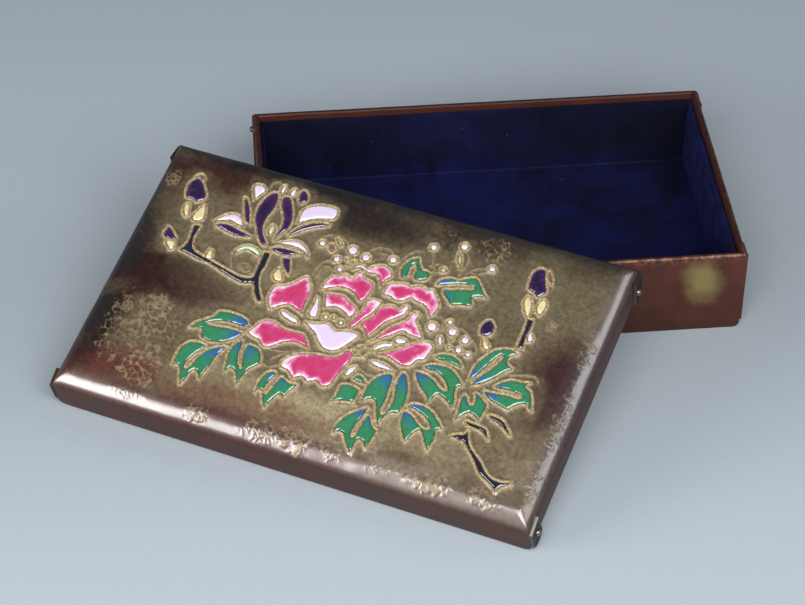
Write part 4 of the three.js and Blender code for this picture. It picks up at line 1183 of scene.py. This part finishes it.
class ENAMELBOX_OT_tray(bpy.types.Operator):
    """Folded copper tray with lapped corners"""
    bl_idname = "enamelbox.tray"
    bl_label = "Tray"

    def execute(self, context):
        sizes = context.scene.enamel_box_sizes
        half = Vector((TRAY_LENGTH, TRAY_WIDTH, TRAY_HEIGHT)) * MM / 2

        def at_foot_of_ends(middle, run):
            return abs(run.y) > 0.9 and middle.z < half.z / 2 and abs(middle.x) > half.x / 2

        tray = block("tray", (0, 0, half.z), half * 2)
        rounded_off(tray, TRAY_CORNER * MM, 6, at_foot_of_ends, "EDGE")
        pick(tray, lambda middle, normal: normal.z > 0.9)
        for inset in (RIM_ROUND, TRAY_WALL * MM - 2 * RIM_ROUND, RIM_ROUND):
            bpy.ops.mesh.inset(thickness=inset)
        down = (0, 0, (TRAY_FLOOR - TRAY_HEIGHT) * MM)
        bpy.ops.mesh.extrude_region_move(TRANSFORM_OT_translate={"value": down})
        bpy.ops.object.mode_set(mode="OBJECT")
        self.soften_rim(tray, half)
        self.add_flaps(tray, half)
        bpy.context.tool_settings.mesh_select_mode = (True, False, False)
        cut_strips(tray, (-half.x, -half.y, 0), (half.x, half.y, 2 * half.z), TRAY_STRIPS)
        self.wave(tray, half, sizes.sheet_wave)
        dress(tray, tray_copper(), "tray_copper", "tray_shell")
        smooth_by_angle(tray, 35)
        return {"FINISHED"}

    def soften_rim(self, tray, half):
        """Lowers the rim's two outer loops, so that its sheet looks folded over."""
        for vertex in tray.data.vertices:
            point = vertex.co
            if point.z > 2 * half.z - 1e-6:
                outer = abs(abs(point.x) - half.x) < 1e-6 or abs(abs(point.y) - half.y) < 1e-6
                wall = TRAY_WALL * MM
                inner = abs(point.x) < half.x - wall + 1e-6 and abs(point.y) < half.y - wall + 1e-6
                if outer or inner:
                    vertex.co.z -= RIM_DROP

    def add_flaps(self, tray, half):
        """Each flap is the long side's sheet lapped round the corner onto the end."""
        flaps = []
        length = TRAY_FLAP_LENGTH * MM
        low, high = TRAY_FLAP_FOOT, 2 * half.z - TRAY_FLAP_BELOW_RIM
        for way in (-1, 1):
            for side in (-1, 1):
                middle_y = side * (half.y - length / 2)

                def at_inner_corners(middle, run):
                    return abs(run.x) > 0.9 and (middle.y - middle_y) * -side > 0

                place = (way * (half.x + TRAY_FLAP_OUT), middle_y, (low + high) / 2)
                flap = block("tray_flap", place, (TRAY_FLAP_SHEET, length, high - low))
                rounded_off(flap, TRAY_FLAP_ROUND, 4, at_inner_corners, "EDGE")
                rounded_off(flap, TRAY_FLAP_EDGE, 2, lambda middle, normal: normal.x * way > 0.9)
                flaps.append(flap)
        only(tray)
        for flap in flaps:
            flap.select_set(True)
        bpy.context.view_layer.objects.active = tray
        bpy.ops.object.join()

    def wave(self, tray, half, amount):
        """Makes the hammered sheet uneven, and marks where the rim's patina is worn off."""
        worn = []
        for vertex in tray.data.vertices:
            point = vertex.co
            rise = min(1, max(0, (point.z - 0.004) / 0.01))
            push = noise.noise_vector(point * 55) * amount + noise.noise_vector(point * 170) * amount * 0.35
            inside = abs(point.x) < half.x + 0.001 and point.z > 0.001
            if inside:
                vertex.co += Vector((push.x, push.y, push.z * 1.2 * rise)) * 0.6
            top = point.z > 2 * half.z - 0.0012
            outer = abs(abs(point.y) - half.y) < 0.0008 or abs(abs(point.x) - half.x) < 0.0008
            front = point.y < 0.0008 - half.y and point.x > 0
            worn.append((1.0 if front else 0.35) if top and outer else 0.0)
        give_attribute(tray, "worn", worn)


class ENAMELBOX_OT_lining(bpy.types.Operator):
    """Velvet-covered boards inside the tray"""
    bl_idname = "enamelbox.lining"
    bl_label = "Lining"

    def execute(self, context):
        cloth = velvet_cloth(context.scene.enamel_box_colours)
        for name in ("lining_floor", "lining_front", "lining_back", "lining_left", "lining_right"):
            low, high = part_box(name)
            board = block(name.replace("lining", "velvet"), (low + high) / 2, high - low)
            bevel = board.modifiers.new("turned_edge", "BEVEL")
            bevel.width = BOARD_EDGE
            bevel.segments = 3
            bpy.ops.object.modifier_apply(modifier="turned_edge")
            cut_strips(board, low, high, [round(size / BOARD_STRIP) for size in high - low])
            for vertex in board.data.vertices:
                vertex.co += noise.noise_vector(vertex.co * 60) * BOARD_WAVE
            dress(board, cloth, "velvet", name)
            smooth_by_angle(board, 50)
        return {"FINISHED"}


class ENAMELBOX_OT_tacks(bpy.types.Operator):
    """Domed tacks at the lapped corners"""
    bl_idname = "enamelbox.tacks"
    bl_label = "Tacks"

    def execute(self, context):
        sizes = context.scene.enamel_box_sizes
        # Painted shade: the tray's tacks take a darker copy of the same tack metal
        metal = {
            "lid": tack_copper("rubbed_copper_tack", "#5A5052", "#B4ACA8"),
            "tray": tack_copper("painted_shade_copper_tack", "#3E2E2A", "#74605A")}
        bpy.ops.object.select_all(action="DESELECT")
        bpy.ops.mesh.primitive_uv_sphere_add(segments=24, ring_count=14, radius=sizes.tack_radius)
        first = context.object
        first.name = "tack"
        bpy.ops.object.mode_set(mode="EDIT")
        bpy.ops.mesh.select_all(action="SELECT")
        bpy.ops.mesh.bisect(plane_co=(0, 0, 0), plane_no=(0, 0, 1), clear_inner=True, use_fill=True)
        bpy.ops.object.mode_set(mode="OBJECT")
        for vertex in first.data.vertices:
            vertex.co.z *= sizes.tack_height / sizes.tack_radius
        pick(first, lambda middle, normal: normal.z < -0.9)
        bpy.ops.mesh.inset(thickness=sizes.tack_radius - TACK_NECK)
        bpy.ops.mesh.extrude_region_move(TRANSFORM_OT_translate={"value": (0, 0, -TACK_SHANK)})
        bpy.ops.object.mode_set(mode="OBJECT")
        for name in sorted(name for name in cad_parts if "tack" in name):
            low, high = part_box(name)
            middle = (low + high) / 2
            tack = first.copy()
            tack.data = first.data.copy()
            tack.name = name.replace("_tack", "_tack_head")
            context.collection.objects.link(tack)
            on_tray = name.startswith("tray")
            local = middle if on_tray else LID.inverted() @ (middle / MM) * MM
            way = 1 if local.x > 0 else -1
            out = TRAY_LENGTH / 2 + TRAY_FLAP if on_tray else LID_LENGTH / 2 + LID_TAB - TAB_SUNK / MM
            seat = Matrix.Translation((way * out * MM, local.y, local.z))
            turn = Matrix.Rotation(way * math.pi / 2, 4, "Y")
            tack.data.transform((Matrix() if on_tray else LID_IN_METRES) @ seat @ turn)
            dress(tack, metal[name.split("_")[0]], "tack", name)
            smooth_by_angle(tack, 50)
        bpy.data.objects.remove(first)
        return {"FINISHED"}


class ENAMELBOX_OT_lid(bpy.types.Operator):
    """Cushioned lid with gold rims round its enamel cells"""
    bl_idname = "enamelbox.lid"
    bl_label = "Lid"

    def execute(self, context):
        sizes = context.scene.enamel_box_sizes
        colours = context.scene.enamel_box_colours
        relief = Relief(sizes)
        skin = self.skin(relief, sizes.sheet_wave)
        dress(skin, lid_copper(colours), "lid_copper", "lid_shell")
        # Painted shade: the tabs take a copy of the lid's copper at about a third of its brightness
        painted_shade_tab_metal = lid_copper(colours, 0.36)
        for flap in self.flaps():
            dress(flap, painted_shade_tab_metal, "lid_copper")
        self.enamels(relief, sizes.enamel_dome / MM)
        return {"FINISHED"}

    def sheet_points(self, relief):
        """Points over the flat sheet: rings beside the outlines, lines of lace, and a plain grid."""
        rings = []
        for cell in relief.cells:
            for share in CELL_RINGS:
                distance = share * (relief.width / RINGS_FOR_WIDTH)
                ring = offset_ring(cell["outline"], distance)
                rings.append(unrolled(ring[np.abs(relief.cell_distance(ring) - distance) < 0.07]))
        lines = []
        for line in relief.wires + relief.knot + relief.blossoms:
            side = np.gradient(line, axis=0)
            side /= np.maximum(np.linalg.norm(side, axis=1, keepdims=True), 1e-9)
            across = np.stack([-side[:, 1], side[:, 0]], 1)
            for distance in WIRE_RINGS:
                for way in (-1, 1):
                    moved = line + across * distance * way
                    moved = moved[on_lid(moved, 0.3)]
                    clear = relief.cell_distance(moved) > 0.3 if len(moved) else []
                    lines.append(unrolled(moved[clear]) if len(moved) else np.zeros((0, 2)))
        across = np.linspace(-FLAT_A, FLAT_A, round(2 * FLAT_A / GRID_STEP) + 1)
        upward = np.linspace(0, FLAT_B, round(FLAT_B / GRID_STEP) + 1)
        grid = np.stack(np.meshgrid(across, upward), -1).reshape(-1, 2)
        inner = grid[clear_of_border(grid, 0.01)]
        inner = inner[np.abs(relief.cell_distance(rolled(inner)[0][:, :2])) > 0.45]
        border = np.concatenate([
            [(x, 0) for x in across], [(FLAT_A, y) for y in upward[1:]],
            [(x, FLAT_B) for x in across[::-1][1:]], [(-FLAT_A, y) for y in upward[::-1][1:-1]]])
        body = thinned(rings + lines + [self.crinkle_points(relief), inner], MERGE)
        return border, body[clear_of_border(body, 0.4)]

    def crinkle_points(self, relief):
        """A fine grid inside the patches of crinkle, clear of the cells."""
        fine = []
        for middle, half, _, _ in relief.nets:
            low, high = middle - 1.2 * half, middle + 1.2 * half
            grid = grid_between(low, high, CRINKLE_STEP)
            grid = np.round(grid / CRINKLE_STEP) * CRINKLE_STEP
            inside = np.linalg.norm((grid - middle) / half, axis=1) < 1.2
            fine.append(grid[inside & on_lid(grid, 0.2)])
        fine = np.concatenate(fine)
        return unrolled(fine[relief.cell_distance(fine) > 1.2])

    def skin(self, relief, wave):
        """The cover: the sheet's points rolled over the cushion, raised by the relief, with its skirt."""
        border, body = self.sheet_points(relief)
        sheet = np.concatenate([border, body])
        found = delaunay_2d_cdt([Vector(p) for p in sheet], [], [list(range(len(border)))], 1, 1e-6)
        sheet = np.array([tuple(p) for p in found[0]])
        faces = [tuple(f) for f in found[2]]
        places, facing = rolled(sheet)
        height, gild, halo, net = relief.at(places[:, :2])
        edge = np.minimum(np.minimum(FLAT_A - np.abs(sheet[:, 0]), sheet[:, 1]), FLAT_B - sheet[:, 1])
        height *= np.clip(edge / 2, 0, 1)
        swell = noise_over(sheet, 0, 0.055) + 0.4 * noise_over(sheet, 9, 0.19)
        height += swell * wave / MM * np.clip(edge / 3, 0, 1)
        outer = places + facing * height[:, None]
        loop = self.border_loop(sheet)
        rings = self.skirt_rings(places[loop])
        start = len(outer)
        previous = loop
        for ring in rings:
            now = list(range(start, start + len(ring)))
            for i in range(len(loop)):
                j = (i + 1) % len(loop)
                faces.append((previous[j], previous[i], now[i], now[j]))
            previous = now
            start += len(ring)
        faces.append(tuple(previous))
        piece = mesh_piece("lid_cover", from_lid(np.concatenate([outer] + rings)), faces)
        # The rounding is polished by handling, but little along the back and the left end
        polish = np.clip(1 - (edge - ARC) / 6, 0.05, 1) * np.clip((edge / ARC - 0.25) / 0.15, 0.1, 1)
        from_left = FLAT_A + sheet[:, 0]
        dull = (FLAT_B - sheet[:, 1] < FLAT_A - np.abs(sheet[:, 0])) | (from_left < sheet[:, 1])
        polish *= np.where(dull & (edge < ARC + 8), 0.25, 1) * (1 - 0.6 * net)
        for name, values, on_skirt in (
                ("gild", gild, 0), ("halo", halo, 0), ("net", net, 0), ("polish", polish, 0.1)):
            give_attribute(piece, name, np.concatenate([values, np.full(start - len(outer), on_skirt)]))
        only(piece)
        bpy.ops.object.mode_set(mode="EDIT")
        bpy.ops.mesh.select_all(action="SELECT")
        bpy.ops.mesh.normals_make_consistent(inside=False)
        bpy.ops.object.mode_set(mode="OBJECT")
        smooth_by_angle(piece, 60)
        return piece

    def border_loop(self, sheet):
        """The border's points in order round the sheet."""
        at_end = np.abs(sheet[:, 0]) > FLAT_A - 1e-4
        edge = np.nonzero(at_end | (sheet[:, 1] < 1e-4) | (sheet[:, 1] > FLAT_B - 1e-4))[0]
        angle = np.arctan2(sheet[edge, 1] - FLAT_B / 2, sheet[edge, 0])
        return list(edge[np.argsort(angle)])

    def skirt_rings(self, border):
        """The skirt: down outside, round its lower lip, up inside and over to the underside."""
        def moved(inset, height):
            a = np.clip(border[:, 0], -LID_LENGTH / 2 + inset, LID_LENGTH / 2 - inset)
            b = np.clip(border[:, 1], inset, LID_WIDTH - inset)
            return np.stack([a, b, np.broadcast_to(height, a.shape)], 1)

        half = LID_LENGTH / 2
        near_end = np.clip((np.abs(border[:, 0]) - (half - LID_CORNER)) / LID_CORNER, 0, 1)
        lift = LID_CORNER * (1 - np.sqrt(1 - near_end ** 2)) * 0.9
        down = (LID_SIDE * 0.66, 7.0, np.maximum(lift + 0.9, 3), lift + LIP_ROUND)
        rings = [moved(0, height) for height in down]
        for angle in np.radians((30, 60, 90, 120, 150)):
            across = LID_WALL * (1 - math.cos(angle)) / 2
            rings.append(moved(across, lift + LIP_ROUND * (1 - math.sin(angle))))
        top = LID_TOP - LID_SHEET
        round_in = LID_ROUND - LID_WALL
        rings += [moved(LID_WALL, height) for height in (lift + LIP_ROUND, np.maximum(lift + 1.5, 8.0))]
        for angle in np.radians((0, 30, 60, 90)):
            inset = LID_WALL + round_in * (1 - math.cos(angle))
            rings.append(moved(inset, top - round_in + round_in * math.sin(angle)))
        return rings

    def flaps(self):
        """The long sides' sheet lapped round each corner onto the lid's ends, as a rounded tab."""
        made = []
        length = LID_FLAP_LENGTH * MM
        low, high = TAB_FOOT, (LID_SIDE + 0.5) * MM
        middle = (low + high) / 2
        for way in (-1, 1):
            for side in (1, -1):
                name = f"lid_flap_{len(made) + 1}"
                size = (LID_TAB * MM + TAB_OVERLAP, length, high - low)
                flap = block(name, (0, length / 2, middle), size)
                rounded_off(
                    flap, TAB_ROUND, 7, lambda place, run: abs(run.x) > 0.9 and place.z < middle, "EDGE")
                # Its top edge slopes up to the lid's corner
                for vertex in flap.data.vertices:
                    if vertex.co.z > high - 0.0001:
                        vertex.co.z += 0.0022 * vertex.co.y / length
                        vertex.co.y -= 0.0018 * vertex.co.y / length
                rounded_off(flap, TAB_EDGE, 2, lambda place, normal: normal.x > 0.9)
                pick(flap, lambda place, normal: normal.x > 0.99)
                bpy.ops.mesh.inset(thickness=TAB_BORDER, depth=-TAB_SUNK)
                bpy.ops.object.mode_set(mode="OBJECT")
                sunk_face = max(vertex.co.x for vertex in flap.data.vertices) - TAB_SUNK
                sunk = [abs(sunk_face - vertex.co.x) < 0.00005 for vertex in flap.data.vertices]
                out = way * ((LID_LENGTH + LID_TAB) * MM - TAB_OVERLAP) / 2
                seat = Matrix.Translation((out, LID_WIDTH * MM if side < 0 else 0, 0))
                flap.data.transform(LID_IN_METRES @ seat @ Matrix.Diagonal((way, side, 1, 1)))
                if way * side < 0:
                    flap.data.flip_normals()
                for name in ("gild", "halo", "net"):
                    give_attribute(flap, name, [0.0] * len(sunk))
                bright = 0.6 if way > 0 else 0.1
                give_attribute(flap, "polish", [0.08 if dull else bright for dull in sunk])
                smooth_by_angle(flap, 35)
                made.append(flap)
        return made

    def enamels(self, relief, dome):
        """Each larger cell's glass is a piece, and the smallest cells of a colour are one piece."""
        glass = {kind: enamel_glass(kind) for kind in ENAMELS}
        loose = {}
        for cell in relief.cells:
            name, kind = cell["name"], cell["kind"]
            mesh = self.enamel_mesh(cell, dome)
            if name:
                piece = self.enamel_piece(name.replace("enamel_", ""), [mesh])
                dress(piece, glass[kind], ENAMELS[kind][2], name)
            else:
                loose.setdefault(kind, []).append(mesh)
        for kind, meshes in loose.items():
            piece = self.enamel_piece(f"small_{kind}_cells", meshes)
            dress(piece, glass[kind], ENAMELS[kind][2])

    def enamel_mesh(self, cell, dome):
        """One cell's glass: a swelling top that turns down at its edge, sides and a flat bottom."""
        outline = cell["outline"]
        groups = [(offset_ring(outline, -distance), distance) for distance in ENAMEL_RINGS]
        groups.append((grid_between(outline.min(0), outline.max(0), ENAMEL_GRID), None))
        kept = []
        for points, distance in groups:
            inside = inside_outline(points, outline)
            far = distance_to_line(points, outline)
            good = inside & (far > 1.6 if distance is None else np.abs(far - distance) < 0.06)
            kept.append(points[good])
        body = thinned(kept, ENAMEL_MERGE) if sum(map(len, kept)) else np.zeros((0, 2))
        count = len(outline)
        sheet = np.concatenate([outline, body]) if len(body) else outline
        found = delaunay_2d_cdt([Vector(p) for p in sheet], [], [list(range(count))], 1, 1e-6)
        flat = np.array([tuple(p) for p in found[0]])
        far = distance_to_line(flat, outline)
        uneven = noise_over(flat, 5, 0.5)
        swell = np.sin(np.clip(far / (ENAMEL_SHORE + 0.6 * uneven), 0, 1) * math.pi / 2)
        level = LID_TOP - ENAMEL_EDGE_SUNK + dome * (swell + 0.12 * uneven * np.clip(far, 0, 1))
        top = np.column_stack([flat, level])
        order = self.follow(flat, np.nonzero(far < 1e-4)[0], outline)
        lower = np.column_stack([flat[order], np.full(len(order), LID_TOP - ENAMEL_FOOT_SUNK)])
        faces = [tuple(f) for f in found[2]]
        base = len(flat)
        for i in range(len(order)):
            j = (i + 1) % len(order)
            faces.append((order[i], base + i, base + j, order[j]))
        faces.append(tuple(base + i for i in range(len(order)))[::-1])
        depth = np.clip(np.concatenate([far, np.zeros(len(order))]) / 3.2, 0, 1)
        everything = np.concatenate([top, lower])
        along = np.full(len(everything), 0.5)
        if cell["foot"] is not None:
            reach = np.linalg.norm(everything[:, :2] - cell["foot"], axis=1)
            along = reach / max(reach.max(), 1e-6)
        return everything, faces, depth, along

    def follow(self, flat, rim, outline):
        """The rim's points in the outline's order."""
        where = [int(np.argmin(((outline - flat[i]) ** 2).sum(1))) for i in rim]
        return [int(i) for _, i in sorted(zip(where, rim))]

    def enamel_piece(self, name, meshes):
        """One piece from the glass of one or more cells."""
        points, faces, depth, along = [], [], [], []
        start = 0
        for some, their_faces, their_depth, their_along in meshes:
            points.append(some)
            faces += [tuple(start + v for v in f) for f in their_faces]
            depth.append(their_depth)
            along.append(their_along)
            start += len(some)
        piece = mesh_piece(name, from_lid(np.concatenate(points)), faces)
        give_attribute(piece, "depth", np.concatenate(depth))
        give_attribute(piece, "along", np.concatenate(along))
        smooth_by_angle(piece, 60)
        return piece


class ENAMELBOX_OT_stage(bpy.types.Operator):
    """Paper ground, camera and soft studio light"""
    bl_idname = "enamelbox.stage"
    bl_label = "Stage"

    def execute(self, context):
        bpy.ops.object.select_all(action="DESELECT")
        bpy.ops.mesh.primitive_plane_add(size=8, location=(0, 0, -0.0002))
        floor = context.object
        floor.name = "background_paper"
        settle(floor)
        floor.data.materials.append(studio_paper(context.scene.enamel_box_colours))
        self.camera(context)
        self.lights(context)
        return {"FINISHED"}

    def camera(self, context):
        data = bpy.data.cameras.new("photo_camera")
        data.lens = LENS
        data.sensor_width = SENSOR
        data.clip_end = 20
        camera = bpy.data.objects.new("photo_camera", data)
        context.collection.objects.link(camera)
        away = Vector((
            math.sin(CAMERA_AZIMUTH) * math.cos(CAMERA_ELEVATION),
            -math.cos(CAMERA_AZIMUTH) * math.cos(CAMERA_ELEVATION),
            math.sin(CAMERA_ELEVATION)))
        camera.location = CAMERA_TARGET + away * CAMERA_DISTANCE
        camera.rotation_euler = (-away).to_track_quat("-Z", "Y").to_euler()
        context.scene.camera = camera
        context.scene.view_settings.view_transform = "Standard"

    def lights(self, context):
        world = bpy.data.worlds.new("studio")
        world.use_nodes = True
        sky = world.node_tree.nodes["Background"].inputs
        sky[0].default_value = STUDIO_SKY
        sky[1].default_value = STUDIO_SKY_STRENGTH
        context.scene.world = world
        for softbox in SOFTBOXES:
            self.softbox(context, *softbox)

    def softbox(self, context, name, place, aim, size, power):
        data = bpy.data.lights.new(name, "AREA")
        data.shape = "RECTANGLE"
        data.size, data.size_y = size
        data.energy = power
        data.color = LAMP_COLOUR
        light = bpy.data.objects.new(name, data)
        light.location = place
        light.rotation_euler = (Vector(aim) - Vector(place)).to_track_quat("-Z", "Y").to_euler()
        context.collection.objects.link(light)


class ENAMELBOX_PT_panel(bpy.types.Panel):
    """Lists the box's steps and sizes"""
    bl_label = "Enamel Box"
    bl_idname = "ENAMELBOX_PT_panel"
    bl_space_type = "VIEW_3D"
    bl_region_type = "UI"
    bl_category = "Enamel Box"

    def draw(self, context):
        for step in STEPS:
            self.layout.operator(step.bl_idname)
        sizes = context.scene.enamel_box_sizes
        for name in ("rim_height", "rim_width", "enamel_dome", "tack_radius", "tack_height", "sheet_wave"):
            self.layout.prop(sizes, name)
        for name in ("gold", "velvet", "paper"):
            self.layout.prop(context.scene.enamel_box_colours, name)


STEPS = (
    ENAMELBOX_OT_stage, ENAMELBOX_OT_tray, ENAMELBOX_OT_lining, ENAMELBOX_OT_tacks, ENAMELBOX_OT_lid)
CLASSES = (EnamelBoxSizes, EnamelBoxColours, *STEPS, ENAMELBOX_PT_panel)


def register():
    for kind in CLASSES:
        bpy.utils.register_class(kind)
    bpy.types.Scene.enamel_box_sizes = bpy.props.PointerProperty(type=EnamelBoxSizes)
    bpy.types.Scene.enamel_box_colours = bpy.props.PointerProperty(type=EnamelBoxColours)


def unregister():
    del bpy.types.Scene.enamel_box_sizes
    del bpy.types.Scene.enamel_box_colours
    for kind in reversed(CLASSES):
        bpy.utils.unregister_class(kind)


def main():
    register()
    bpy.ops.enamelbox.stage()
    bpy.ops.enamelbox.tray()
    bpy.ops.enamelbox.lining()
    bpy.ops.enamelbox.tacks()
    bpy.ops.enamelbox.lid()


if __name__ == "__main__":
    main()
